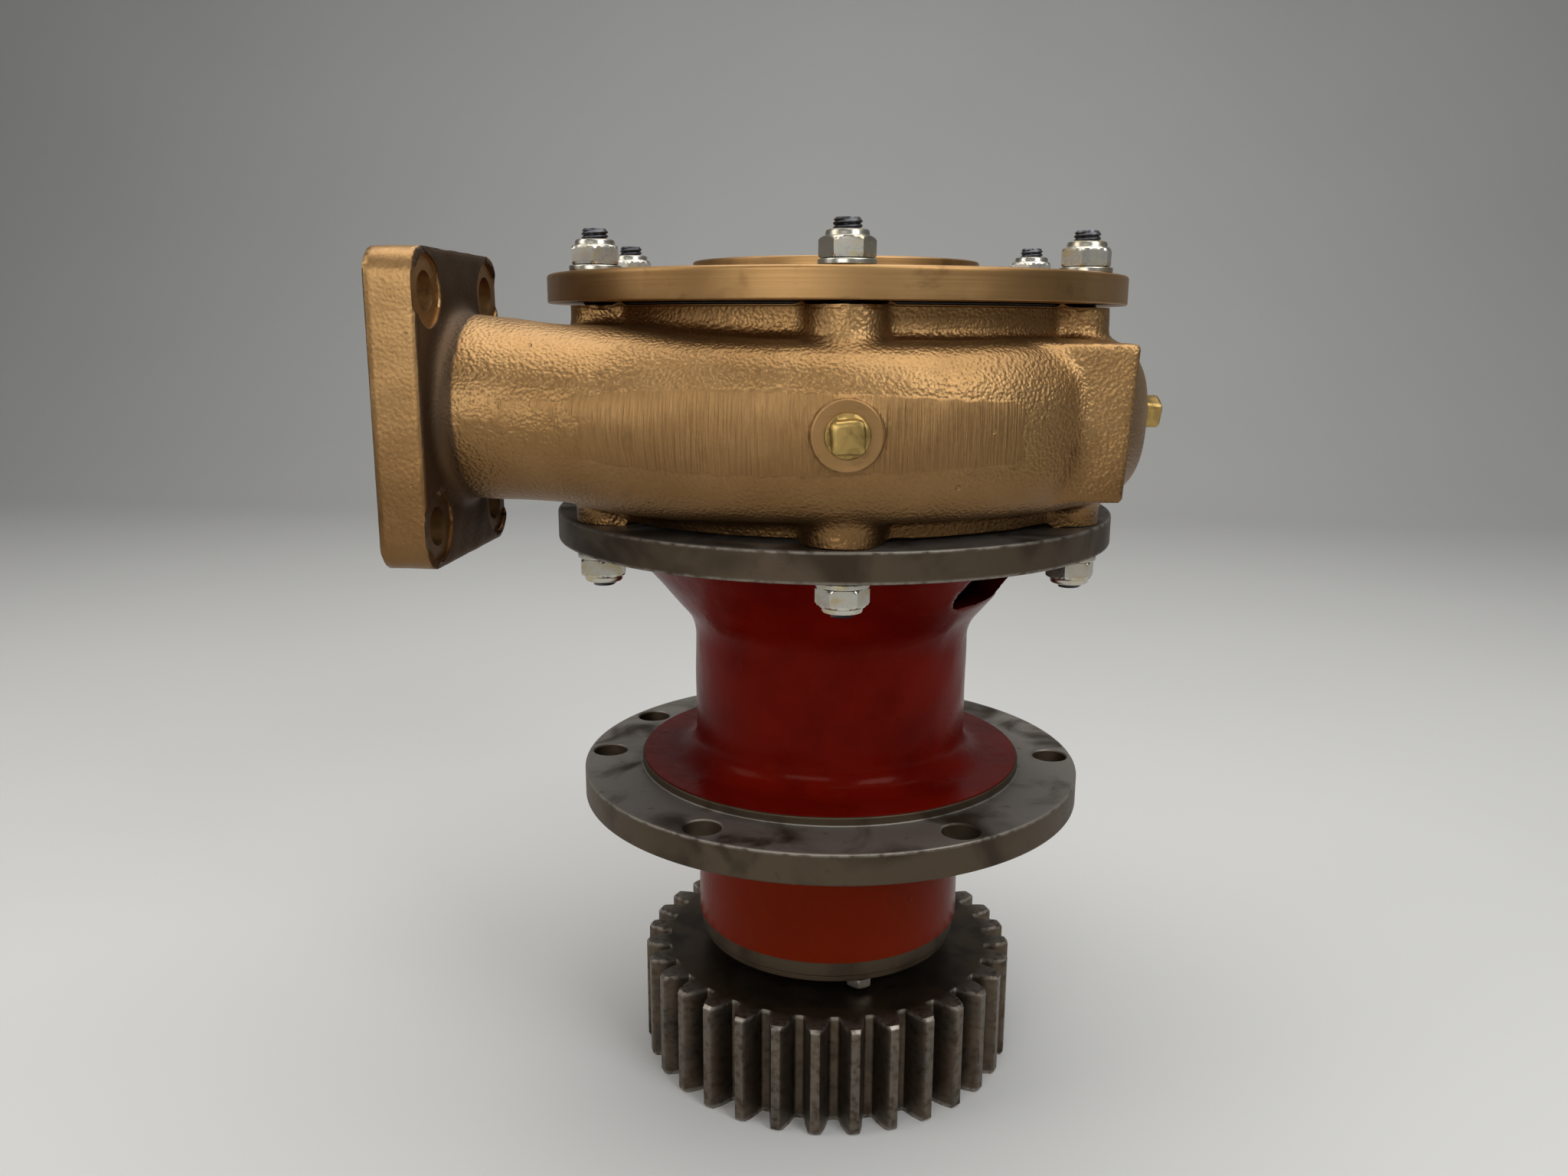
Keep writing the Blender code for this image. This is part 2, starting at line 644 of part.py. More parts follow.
def make_studs_and_nuts():
    """Six studs and locknuts above the casing, and six below."""
    nut = nut_mesh()
    low, high = COVER_STUD_ENDS
    upper = rod_mesh("upper_stud", STUD_RADIUS, (0, 0, low), (0, 0, high), HOLE)
    low, high = BASE_STUD_ENDS
    lower = rod_mesh("lower_stud", STUD_RADIUS, (0, 0, low), (0, 0, high), HOLE)
    steel = make_material("stud_steel", (0.10, 0.10, 0.11), 0.4, 0.9)
    for mesh in (upper, lower):
        mesh.materials.append(steel)
    turned_over = Matrix.Rotation(math.pi, 4, "X")
    for i, angle in enumerate(stud_angles()):
        spot = polar(STUD_CIRCLE, angle)
        stud = add_object("cover_stud_%d" % (i + 1), upper, ASSEMBLY)
        stud.location = spot
        stud = add_object("base_stud_%d" % (i + 1), lower, ASSEMBLY)
        stud.location = spot
        seat = Matrix.Translation(spot + Vector((0, 0, COVER_TOP + GAP)))
        turn = Matrix.Rotation(angle + math.radians(7.0 * i), 4, "Z")
        top_nut = add_object("cover_nut_%d" % (i + 1), nut, ASSEMBLY)
        top_nut.matrix_world = seat @ turn
        under = Matrix.Translation(spot + Vector((0, 0, TOP_FLANGE_BOTTOM - GAP)))
        low_nut = add_object("base_nut_%d" % (i + 1), nut, ASSEMBLY)
        low_nut.matrix_world = under @ turn @ turned_over


def make_plugs():
    """Square-headed screw plugs in the front and side of the volute."""
    for name, angle, roll in zip(("front_plug", "side_plug"), PLUG_ANGLES, (3.0, 24.0)):
        seat = VOLUTE_RADIUS + 0.0015
        direction = polar(1.0, angle)
        thread = rod_mesh(
            name, PLUG_THREAD_RADIUS, polar(0.1235, angle, PLUG_Z), polar(seat, angle, PLUG_Z), 16)
        plug = add_object(name, thread, ASSEMBLY, brass(name + "_brass"))
        collar = rod("plug_collar", PLUG_COLLAR_RADIUS, polar(seat, angle, PLUG_Z),
                     polar(seat + 0.0022, angle, PLUG_Z), 16)
        half = PLUG_SQUARE / 2.0
        head = box("plug_head", (-half, -half, 0.0), (half, half, 0.0080))
        soften = head.modifiers.new("edges", "BEVEL")
        soften.width = 0.0016
        soften.segments = 1
        track = direction.to_track_quat("Z", "Y").to_matrix().to_4x4()
        start = polar(seat + 0.0010, angle, PLUG_Z)
        head.matrix_world = Matrix.Translation(start) @ track @ Matrix.Rotation(math.radians(roll), 4, "Z")
        combine(plug, [collar, head], "UNION")


# ---------------------------------------------------------------------------
# Bearing housing side
# ---------------------------------------------------------------------------


def make_bearing_housing():
    """Painted casting: barrel with its lower spigot, base fillet and the cone with its window."""
    base = MOUNT_STEP_TOP + GAP
    fillet = arc((BARREL_RADIUS + FILLET, base + FILLET), FILLET, 180.0, 270.0, 4)
    cone_top = TOP_FLANGE_BOTTOM - GAP
    profile = [(CONE_TOP_RADIUS, cone_top), (BARREL_RADIUS + 0.0010, CONE_BOTTOM + 0.0010)]
    profile += [(BARREL_RADIUS, CONE_BOTTOM - 0.0020)]
    profile += fillet
    profile += [
        (LOWER_BARREL_RADIUS, base), (LOWER_BARREL_RADIUS, HOUSING_FOOT_TOP),
        (HOUSING_FOOT_RADIUS, HOUSING_FOOT_TOP - 0.001), (HOUSING_FOOT_RADIUS, HOUSING_FOOT_BOTTOM)]
    seat = BEARING_OUTER + GAP
    profile += [
        (seat, HOUSING_FOOT_BOTTOM), (seat, LOWER_SEAT_TOP), (MIDDLE_BORE, LOWER_SEAT_TOP + SEAT_LEAD),
        (MIDDLE_BORE, UPPER_SEAT_BOTTOM - SEAT_LEAD), (seat, UPPER_SEAT_BOTTOM), (seat, UPPER_SEAT_TOP),
        (OIL_SEAL_BORE, UPPER_SEAT_TOP), (OIL_SEAL_BORE, OIL_SEAL_WALL_TOP), (HALL_LOW_RADIUS, HALL_LOW_Z),
        (HALL_HIGH_RADIUS, HALL_HIGH_Z), (HALL_HIGH_RADIUS, cone_top)]
    housing = turned(
        "bearing_housing", profile, LARGE, collection=ASSEMBLY,
        material=make_material("housing_paint", (0.20, 0.015, 0.008), 0.25, 0.0))
    cuts = []
    for angle in retainer_angles():
        low = polar(RETAINER_BOLT_CIRCLE, angle, HOUSING_FOOT_BOTTOM - 0.01)
        high = polar(RETAINER_BOLT_CIRCLE, angle, HOUSING_FOOT_BOTTOM + RETAINER_THREAD_DEPTH)
        cuts.append(rod("retainer_thread", RETAINER_THREAD_RADIUS, low, high, HOLE))
    half_w = (WINDOW_WIDTH - WINDOW_HEIGHT) / 2.0
    window = arc((half_w, 0.0), WINDOW_HEIGHT / 2.0, -90.0, 90.0, 7)
    window += arc((-half_w, 0.0), WINDOW_HEIGHT / 2.0, 90.0, 270.0, 7)
    mesh = flat_plate("window", window, 0.090)
    upright = Matrix.Rotation(WINDOW_ANGLE, 4, "Z") @ Matrix.Rotation(math.radians(90.0), 4, "Z")
    upright = upright @ Matrix.Rotation(math.radians(90.0), 4, "X")
    spot = polar(0.090, WINDOW_ANGLE, WINDOW_CENTRE_Z)
    mesh.transform(Matrix.Translation(spot) @ upright)
    cuts.append(add_object("window", mesh))
    combine(housing, cuts, "DIFFERENCE")


def make_mounting_flange():
    """Stepped mounting flange round the barrel, drilled for the mounting bolts."""
    edge = 0.0008
    profile = [
        (MOUNT_STEP_RADIUS, MOUNT_STEP_TOP), (MOUNT_STEP_RADIUS, MOUNT_FLANGE_TOP),
        (MOUNT_FLANGE_RADIUS - edge, MOUNT_FLANGE_TOP), (MOUNT_FLANGE_RADIUS, MOUNT_FLANGE_TOP - edge),
        (MOUNT_FLANGE_RADIUS, MOUNT_FLANGE_BOTTOM + edge),
        (MOUNT_FLANGE_RADIUS - edge, MOUNT_FLANGE_BOTTOM),
        (LOWER_BARREL_RADIUS + GAP, MOUNT_FLANGE_BOTTOM), (LOWER_BARREL_RADIUS + GAP, MOUNT_STEP_TOP)]
    flange = turned(
        "mounting_flange", profile, LARGE, collection=ASSEMBLY, material=dark_iron("mounting_flange_iron"))
    cuts = []
    hole_angles = [MOUNT_HOLE_PHASE + math.radians(60.0) * i for i in range(6)]
    for angle in hole_angles + [EXTRA_HOLE_ANGLE]:
        low = polar(MOUNT_HOLE_CIRCLE, angle, MOUNT_FLANGE_BOTTOM - 0.01)
        high = polar(MOUNT_HOLE_CIRCLE, angle, MOUNT_FLANGE_TOP + 0.01)
        cuts.append(rod("mount_hole", MOUNT_HOLE_RADIUS, low, high, 16))
    combine(flange, cuts, "DIFFERENCE")


def make_top_flange():
    """Round flange above the cone that carries the volute, drilled for the base studs."""
    edge = 0.001
    profile = [
        (TOP_FLANGE_RADIUS - edge, TOP_FLANGE_TOP), (TOP_FLANGE_RADIUS, TOP_FLANGE_TOP - edge),
        (TOP_FLANGE_RADIUS, TOP_FLANGE_BOTTOM + edge), (TOP_FLANGE_RADIUS - edge, TOP_FLANGE_BOTTOM),
        (HALL_HIGH_RADIUS, TOP_FLANGE_BOTTOM), (HALL_HIGH_RADIUS, CARRIER_LEDGE_Z),
        (TOP_FLANGE_BORE, CARRIER_LEDGE_Z), (TOP_FLANGE_BORE, TOP_FLANGE_TOP)]
    flange = turned(
        "top_flange", profile, LARGE, collection=ASSEMBLY, material=dark_iron("top_flange_iron"))
    cuts = []
    for angle in stud_angles():
        low = polar(STUD_CIRCLE, angle, TOP_FLANGE_BOTTOM - 0.01)
        high = polar(STUD_CIRCLE, angle, TOP_FLANGE_TOP + 0.01)
        cuts.append(rod("flange_hole", STUD_HOLE_RADIUS, low, high, HOLE))
    combine(flange, cuts, "DIFFERENCE")


def retainer_angles():
    """Angles of the retainer bolts."""
    step = 2.0 * math.pi / RETAINER_BOLTS
    return [RETAINER_BOLT_ANGLE + step * i for i in range(RETAINER_BOLTS)]


def make_retainer():
    """Plate that holds the lower bearing in the housing, and its bolts."""
    low = RETAINER_BOTTOM
    high = HOUSING_FOOT_BOTTOM - GAP
    ledge = low + 0.0026
    profile = [
        (RETAINER_RIM_OUTER, LOWER_BEARING_Z - GAP), (RETAINER_RIM_OUTER, high), (RETAINER_RADIUS, high),
        (RETAINER_RADIUS, low), (RETAINER_BORE, low), (RETAINER_BORE, ledge),
        (RETAINER_RIM_INNER, ledge), (RETAINER_RIM_INNER, LOWER_BEARING_Z - GAP)]
    plate = turned(
        "bearing_retainer", profile, MIDDLE, collection=ASSEMBLY, material=dark_iron("retainer_iron"))
    cuts = []
    for angle in retainer_angles():
        spot = polar(RETAINER_BOLT_CIRCLE, angle)
        above = spot + Vector((0, 0, 0.06))
        cuts.append(rod("retainer_hole", RETAINER_HOLE_RADIUS, spot + Vector((0, 0, 0.05)), above, HOLE))
    puller = polar(RETAINER_BOLT_CIRCLE, RETAINER_BOLT_ANGLE - math.radians(60.0))
    above = puller + Vector((0, 0, 0.06))
    cuts.append(rod("puller_hole", PULLER_HOLE_RADIUS, puller + Vector((0, 0, 0.05)), above, HOLE))
    combine(plate, cuts, "DIFFERENCE")

    corner = RETAINER_BOLT_FLATS / math.sqrt(3.0)
    head = rod("bolt", corner, (0, 0, RETAINER_BOLT_HEAD_Z), (0, 0, low - GAP), 6)
    shank = rod("bolt_shank", RETAINER_BOLT_RADIUS, (0, 0, 0.0530), (0, 0, RETAINER_BOLT_TOP), 10)
    combine(head, [shank], "UNION")
    bpy.context.view_layer.update()
    bolt = evaluated_mesh("retainer_bolt", head)
    bolt.materials.clear()
    bolt.materials.append(bright_steel("bolt_steel"))
    for i, angle in enumerate(retainer_angles()):
        thing = add_object("retainer_bolt_%d" % (i + 1), bolt, ASSEMBLY)
        thing.location = polar(RETAINER_BOLT_CIRCLE, angle)


def bearing_ring_profile(low, outer_ring):
    """Closed section of one bearing ring with its ball groove."""
    middle = low + BEARING_WIDTH / 2.0
    high = low + BEARING_WIDTH
    groove = GROOVE_RADIUS
    if outer_ring:
        side = 0.0383
        reach = math.degrees(math.acos((side - BEARING_PITCH) / groove))
        track = arc((BEARING_PITCH, middle), groove, -reach, reach, 4)
        return [(BEARING_OUTER, high), (BEARING_OUTER, low), (side, low)] + track + [(side, high)]
    side = 0.0267
    reach = math.degrees(math.acos((BEARING_PITCH - side) / groove))
    track = arc((BEARING_PITCH, middle), groove, 180.0 - reach, 180.0 + reach, 4)
    return [(side, high)] + track + [(side, low), (BEARING_BORE, low), (BEARING_BORE, high)]


def make_bearing(place, low, hub):
    """Deep-groove ball bearing: outer ring, inner ring, and caged balls."""
    turned(
        place + "_bearing_outer", bearing_ring_profile(low, True), SMALL,
        collection=ASSEMBLY, material=bright_steel(place + "_outer_steel"))
    inner = turned(
        place + "_bearing_inner", bearing_ring_profile(low, False), SMALL,
        collection=ASSEMBLY, material=bright_steel(place + "_inner_steel"))
    inner.parent = hub
    middle = low + BEARING_WIDTH / 2.0
    cage = ring(
        place + "_ball_cage", 0.0308, 0.0342, middle - 0.0011, middle + 0.0011, SMALL,
        collection=ASSEMBLY, material=brass(place + "_cage_brass"))
    balls = []
    for i in range(BALL_COUNT):
        shape = bmesh.new()
        spot = polar(BEARING_PITCH, 2.0 * math.pi * i / BALL_COUNT, middle)
        bmesh.ops.create_uvsphere(
            shape, u_segments=7, v_segments=5, radius=BALL_RADIUS, matrix=Matrix.Translation(spot))
        balls.append(add_object("ball", mesh_from_bmesh("ball", shape)))
    combine(cage, balls, "UNION")
    axis = bpy.data.objects.new(place + "_cage_axis", None)
    ASSEMBLY.objects.link(axis)
    cage.parent = axis


def make_oil_seal():
    """Lip seal above the upper bearing."""
    profile = [
        (0.0307, 0.1995), (0.0307, 0.1895), (0.0272, 0.1895), (0.0272, 0.1960),
        (0.0218, 0.1935), (0.0203, 0.1950), (0.0215, 0.1995)]
    turned("oil_seal", profile, SMALL, collection=ASSEMBLY, material=rubber("oil_seal_rubber"))


def make_seal_carrier():
    """Back plate between the housing and the casing that carries the shaft seal."""
    profile = [
        (CARRIER_RADIUS, CARRIER_TOP), (CARRIER_RADIUS, CARRIER_FLANGE_TOP),
        (CARRIER_FLANGE_RADIUS, CARRIER_FLANGE_TOP), (CARRIER_FLANGE_RADIUS, CARRIER_FLANGE_BOTTOM),
        (CARRIER_SPIGOT_RADIUS, CARRIER_FLANGE_BOTTOM), (CARRIER_SPIGOT_RADIUS, CARRIER_WEB_Z),
        (CARRIER_WEB_RADIUS, CARRIER_WEB_Z), (CARRIER_CUP_RADIUS, CARRIER_CUP_TOP),
        (CARRIER_CUP_RADIUS, CARRIER_CUP_BOTTOM), (CARRIER_BORE, CARRIER_CUP_BOTTOM),
        (CARRIER_BORE, SEAT_POCKET_Z), (SEAT_POCKET_RADIUS, SEAT_POCKET_Z),
        (SEAT_POCKET_RADIUS, CARRIER_TOP)]
    turned("seal_carrier", profile, LARGE, collection=ASSEMBLY, material=bronze("carrier_bronze"))


def make_shaft_seal(hub):
    """Mechanical seal: fixed seat, turning head and its spring."""
    ring(
        "seal_seat", SEAL_SEAT_INNER, SEAL_SEAT_OUTER, SEAL_SEAT_Z, SEAL_SEAT_Z + SEAL_SEAT_HEIGHT, SMALL,
        collection=ASSEMBLY, material=make_material("seal_ceramic", (0.75, 0.74, 0.70), 0.2, 0.0))
    head = ring(
        "seal_head", SHAFT_WET_RADIUS + GAP, SEAL_HEAD_OUTER, SEAL_HEAD_Z,
        SEAL_HEAD_Z + SEAL_HEAD_HEIGHT, SMALL, chamfer=0.0008, collection=ASSEMBLY,
        material=make_material("seal_carbon", (0.03, 0.03, 0.03), 0.35, 0.0))
    head.parent = hub
    wire = SPRING_WIRE
    low = SEAL_HEAD_Z + SEAL_HEAD_HEIGHT + GAP + wire
    high = IMPELLER_HUB_Z - GAP - wire
    steps = SPRING_TURNS * 12
    curve = bpy.data.curves.new("seal_spring", "CURVE")
    curve.dimensions = "3D"
    curve.bevel_depth = wire
    curve.bevel_resolution = 1
    curve.use_fill_caps = True
    line = curve.splines.new("POLY")
    line.points.add(steps)
    for i in range(steps + 1):
        angle = 2.0 * math.pi * i / 12
        height = low + (high - low) * i / steps
        line.points[i].co = (*polar(SPRING_RADIUS, angle, height), 1.0)
    spring = bpy.data.objects.new("seal_spring", curve)
    ASSEMBLY.objects.link(spring)
    curve.materials.append(bright_steel("spring_steel"))
    spring.parent = hub


# ---------------------------------------------------------------------------
# Rotor
# ---------------------------------------------------------------------------


def make_shaft(hub):
    """Stepped shaft with keyways for the gear and the impeller."""
    profile = [
        (0.0, SHAFT_TOP), (SHAFT_TOP_THREAD_RADIUS - 0.0010, SHAFT_TOP),
        (SHAFT_TOP_THREAD_RADIUS, SHAFT_TOP - 0.0010), (SHAFT_TOP_THREAD_RADIUS, IMPELLER_SEAT_TOP),
        (SHAFT_IMPELLER_RADIUS, IMPELLER_SEAT_TOP), (SHAFT_IMPELLER_RADIUS, IMPELLER_HUB_Z - GAP),
        (SHAFT_WET_RADIUS, IMPELLER_HUB_Z - GAP), (SHAFT_WET_RADIUS, OIL_SEAL_WALL_TOP + 0.0010),
        (SHAFT_OIL_SEAL_RADIUS, OIL_SEAL_WALL_TOP), (SHAFT_OIL_SEAL_RADIUS, UPPER_SEAT_TOP),
        (SHAFT_JOURNAL, UPPER_SEAT_TOP - 0.0005), (SHAFT_JOURNAL, UPPER_BEARING_Z - GAP),
        (SHAFT_MIDDLE_RADIUS, UPPER_BEARING_Z - GAP),
        (SHAFT_MIDDLE_RADIUS, LOWER_BEARING_Z + BEARING_WIDTH + GAP),
        (SHAFT_JOURNAL, LOWER_BEARING_Z + BEARING_WIDTH + GAP), (SHAFT_JOURNAL, GEAR_WIDTH + 0.0010),
        (SHAFT_GEAR_RADIUS, GEAR_WIDTH + 0.0010), (SHAFT_GEAR_RADIUS, GEAR_RECESS_DEPTH + 0.0005),
        (SHAFT_THREAD_RADIUS, GEAR_RECESS_DEPTH + 0.0005), (SHAFT_THREAD_RADIUS, 0.0010),
        (SHAFT_THREAD_RADIUS - 0.0010, 0.0), (0.0, 0.0)]
    shaft = turned(
        "pump_shaft", profile, SMALL, closed=False, collection=ASSEMBLY,
        material=bright_steel("shaft_steel"))
    slot = box("gear_key_slot", (0.0133, -0.0051, 0.0217), (0.0220, 0.0051, 0.0463))
    slot_2 = box("impeller_key_slot", (0.0110, -0.0031, 0.2697), (0.0160, 0.0031, 0.2963))
    combine(shaft, [slot, slot_2], "DIFFERENCE")
    shaft.parent = hub
    steel = bright_steel("key_steel")
    key = box("gear_key", (0.0136, -0.0048, 0.0220), (0.0207, 0.0048, 0.0460), ASSEMBLY, steel)
    key.parent = hub
    key = box("impeller_key", (0.0113, -0.0028, 0.2700), (0.0163, 0.0028, 0.2960), ASSEMBLY,
              bright_steel("impeller_key_steel"))
    key.parent = hub


def gear_outline():
    """Involute outline of the spur gear, one tooth after another."""
    pitch = GEAR_MODULE * GEAR_TEETH / 2.0
    base = pitch * math.cos(GEAR_PRESSURE_ANGLE)
    tip = pitch + GEAR_MODULE
    root = pitch - 1.25 * GEAR_MODULE
    spread = math.tan(GEAR_PRESSURE_ANGLE) - GEAR_PRESSURE_ANGLE
    half_tooth = math.pi / (2.0 * GEAR_TEETH)
    flank = []
    for i in range(4):
        radius = base + (tip - base) * i / 3.0
        tangent = math.sqrt(max((radius / base) ** 2 - 1.0, 0.0))
        involute = tangent - math.atan(tangent)
        flank.append((radius, half_tooth + spread - involute))
    start = flank[0][1]
    right = [(root, start + 0.010)] + flank
    outline = []
    for tooth in range(GEAR_TEETH):
        centre = GEAR_TOOTH_ANGLE + 2.0 * math.pi * tooth / GEAR_TEETH
        for radius, angle in right:
            outline.append(tuple(polar(radius, centre - angle))[:2])
        for radius, angle in reversed(right):
            outline.append(tuple(polar(radius, centre + angle))[:2])
    return outline


def make_drive_gear(hub):
    """Spur gear with a recess below for its nut, a bore and a keyway."""
    mesh = flat_plate("drive_gear", gear_outline(), GEAR_WIDTH)
    mesh.transform(Matrix.Translation((0, 0, GEAR_WIDTH / 2.0)))
    steel = make_material("gear_steel", (0.14, 0.12, 0.10), 0.38, 0.9)
    gear = add_object("drive_gear", mesh, ASSEMBLY, steel)
    recess = [(0.0, 0.0600), (GEAR_BORE_RADIUS, 0.0600), (GEAR_BORE_RADIUS, GEAR_RECESS_DEPTH)]
    recess += [(GEAR_RECESS_RADIUS, GEAR_RECESS_DEPTH), (GEAR_RECESS_RADIUS, -0.0100), (0.0, -0.0100)]
    bore = turned("gear_bore", recess, MIDDLE, closed=False)
    keyway = box("gear_keyway", (0.0100, -0.0051, 0.0100), (0.0210, 0.0051, 0.0600))
    combine(gear, [bore, keyway], "DIFFERENCE")
    gear.parent = hub


def make_rotor_hardware(hub):
    """Spacer, slinger, gear washer and both shaft nuts."""
    steel = bright_steel("spacer_steel")
    spacer = ring(
        "gear_spacer", SHAFT_JOURNAL + GAP, SPACER_RADIUS, GEAR_WIDTH + GAP, LOWER_BEARING_Z - GAP, SMALL,
        collection=ASSEMBLY, material=steel)
    spacer.parent = hub
    slinger = turned(
        "water_slinger",
        [(SLINGER_BODY_RADIUS, SLINGER_TOP), (SLINGER_BODY_RADIUS, 0.2180), (SLINGER_RADIUS, 0.2150),
         (SLINGER_RADIUS, SLINGER_BOTTOM), (SHAFT_WET_RADIUS + GAP, SLINGER_BOTTOM),
         (SHAFT_WET_RADIUS + GAP, SLINGER_TOP)],
        SMALL, collection=ASSEMBLY, material=rubber("slinger_rubber"))
    slinger.parent = hub
    washer = ring(
        "gear_washer", 0.0121, GEAR_WASHER_RADIUS, GEAR_RECESS_DEPTH - GAP - GEAR_WASHER_THICKNESS,
        GEAR_RECESS_DEPTH - GAP, SMALL,
        collection=ASSEMBLY, material=bright_steel("washer_steel"))
    washer.parent = hub
    top = GEAR_RECESS_DEPTH - GEAR_WASHER_THICKNESS - 2.0 * GAP
    corner = GEAR_NUT_FLATS / math.sqrt(3.0)
    nut = rod("gear_nut", corner, (0, 0, top - GEAR_NUT_HEIGHT), (0, 0, top), 6, ASSEMBLY)
    nut.data.materials.append(bright_steel("gear_nut_steel"))
    bore = rod("gear_nut_bore", 0.0120, (0, 0, -0.01), (0, 0, 0.03), SMALL)
    combine(nut, [bore], "DIFFERENCE")
    nut.parent = hub
    cap = turned(
        "impeller_nut", [(0.0, DOME_NUT_TOP), (0.0070, 0.3195), (0.0125, 0.3150),
                         (DOME_NUT_RADIUS, 0.3100), (DOME_NUT_RADIUS, 0.3060),
                         (DOME_NUT_RADIUS, DOME_NUT_BOTTOM), (0.0, DOME_NUT_BOTTOM)],
        6, closed=False, collection=ASSEMBLY, material=brass("impeller_nut_brass"))
    thread = rod("impeller_nut_bore", 0.0098, (0, 0, 0.2950), (0, 0, 0.3158), SMALL)
    combine(cap, [thread], "DIFFERENCE")
    cap.parent = hub


def vane_sections(turn):
    """Stations along one curved vane, each a four-cornered section."""
    sections = []
    stations = 7
    for i in range(stations):
        share = i / (stations - 1)
        radius = 0.0370 + (0.0770 - 0.0370) * share
        angle = turn + math.radians(80.0) * share ** 0.8
        slant = math.radians(38.0)
        across = Vector((math.cos(angle + slant), math.sin(angle + slant), 0.0)) * 0.0018
        middle = polar(radius, angle)
        roof = 0.3085 - (0.3085 - 0.2925) * share
        floor = 0.2700
        low = Vector((0, 0, floor))
        high = Vector((0, 0, roof))
        sections.append([middle - across + low, middle + across + low,
                         middle + across + high, middle - across + high])
    return sections


def make_impeller(hub):
    """Closed impeller: back shroud with hub, curved vanes and front shroud with its neck."""
    back = [
        (IMPELLER_RADIUS, 0.2720), (IMPELLER_RADIUS, 0.2682), (0.0200, 0.2682),
        (0.0200, IMPELLER_HUB_Z), (0.0143, IMPELLER_HUB_Z), (0.0143, 0.2997),
        (0.0205, 0.2997), (0.0240, 0.2850), (0.0330, 0.2750), (0.0450, 0.2720)]
    impeller = turned(
        "impeller", back, MIDDLE, collection=ASSEMBLY, material=bronze("impeller_bronze"))
    front = [
        (0.0400, 0.3240), (0.0400, 0.3105), (0.0480, 0.3085), (IMPELLER_RADIUS, 0.2945),
        (IMPELLER_RADIUS, 0.2915), (0.0470, 0.3055), (0.0355, 0.3120), (0.0355, 0.3240)]
    added = [turned("front_shroud", front, MIDDLE)]
    for i in range(IMPELLER_VANES):
        added.append(loft("vane", vane_sections(2.0 * math.pi * i / IMPELLER_VANES)))
    combine(impeller, added, "UNION")
    keyway = box("impeller_keyway", (0.0110, -0.0031, 0.2600), (0.0167, 0.0031, 0.3100))
    combine(impeller, [keyway], "DIFFERENCE")
    impeller.parent = hub
    ring(
        "impeller_washer", 0.0100, 0.0150, 0.3003, 0.3020, SMALL, collection=ASSEMBLY,
        material=bright_steel("impeller_washer_steel")).parent = hub


def main():
    """Build the whole pump."""
    clear_scene()
    hub = bpy.data.objects.new("rotor_axis", None)
    ASSEMBLY.objects.link(hub)
    make_volute_casing()
    make_inlet_cover()
    make_cover_gasket()
    make_wear_ring()
    make_studs_and_nuts()
    make_plugs()
    make_bearing_housing()
    make_mounting_flange()
    make_top_flange()
    make_retainer()
    make_bearing("lower", LOWER_BEARING_Z, hub)
    make_bearing("upper", UPPER_BEARING_Z, hub)
    make_oil_seal()
    make_seal_carrier()
    make_shaft_seal(hub)
    make_shaft(hub)
    make_drive_gear(hub)
    make_rotor_hardware(hub)
    make_impeller(hub)


main()
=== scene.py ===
"""Looks of the centrifugal water pump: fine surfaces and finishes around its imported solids.

Every length is in metres. The shaft is the Z axis, the drive gear's lower face lies at
Z = 0 and the outlet points along -X.
"""
import json
import logging
import math
from dataclasses import dataclass
from enum import Enum
from typing import Any, Callable, Iterable, Sequence

import bmesh
import bpy
import numpy as np
from mathutils import Matrix, Vector


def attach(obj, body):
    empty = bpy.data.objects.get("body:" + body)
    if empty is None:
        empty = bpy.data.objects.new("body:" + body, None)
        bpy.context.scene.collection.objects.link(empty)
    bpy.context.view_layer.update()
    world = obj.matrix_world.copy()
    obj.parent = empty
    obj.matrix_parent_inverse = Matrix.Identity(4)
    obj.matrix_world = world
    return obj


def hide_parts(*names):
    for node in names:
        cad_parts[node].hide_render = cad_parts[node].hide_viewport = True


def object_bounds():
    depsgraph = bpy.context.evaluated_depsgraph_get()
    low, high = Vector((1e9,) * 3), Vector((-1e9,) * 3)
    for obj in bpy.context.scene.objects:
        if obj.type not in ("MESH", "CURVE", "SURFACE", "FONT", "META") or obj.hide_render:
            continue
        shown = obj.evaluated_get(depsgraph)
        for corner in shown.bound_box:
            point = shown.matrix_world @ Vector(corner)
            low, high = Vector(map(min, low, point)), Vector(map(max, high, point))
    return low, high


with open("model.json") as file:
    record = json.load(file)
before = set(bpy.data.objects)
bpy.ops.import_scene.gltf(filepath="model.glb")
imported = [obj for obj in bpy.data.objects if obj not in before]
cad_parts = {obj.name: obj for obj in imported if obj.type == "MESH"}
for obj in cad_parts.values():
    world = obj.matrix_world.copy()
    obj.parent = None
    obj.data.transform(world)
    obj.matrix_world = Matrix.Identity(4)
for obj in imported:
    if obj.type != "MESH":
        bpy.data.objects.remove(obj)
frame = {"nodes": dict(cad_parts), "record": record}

CAD_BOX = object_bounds()
Array = np.ndarray
Field = Callable[[Array], Array]
Point = tuple[float, float, float]
LOG = logging.getLogger("pump")
TAU = 2.0 * math.pi


# ---------------------------------------------------------------------------
# Shader expressions
# ---------------------------------------------------------------------------


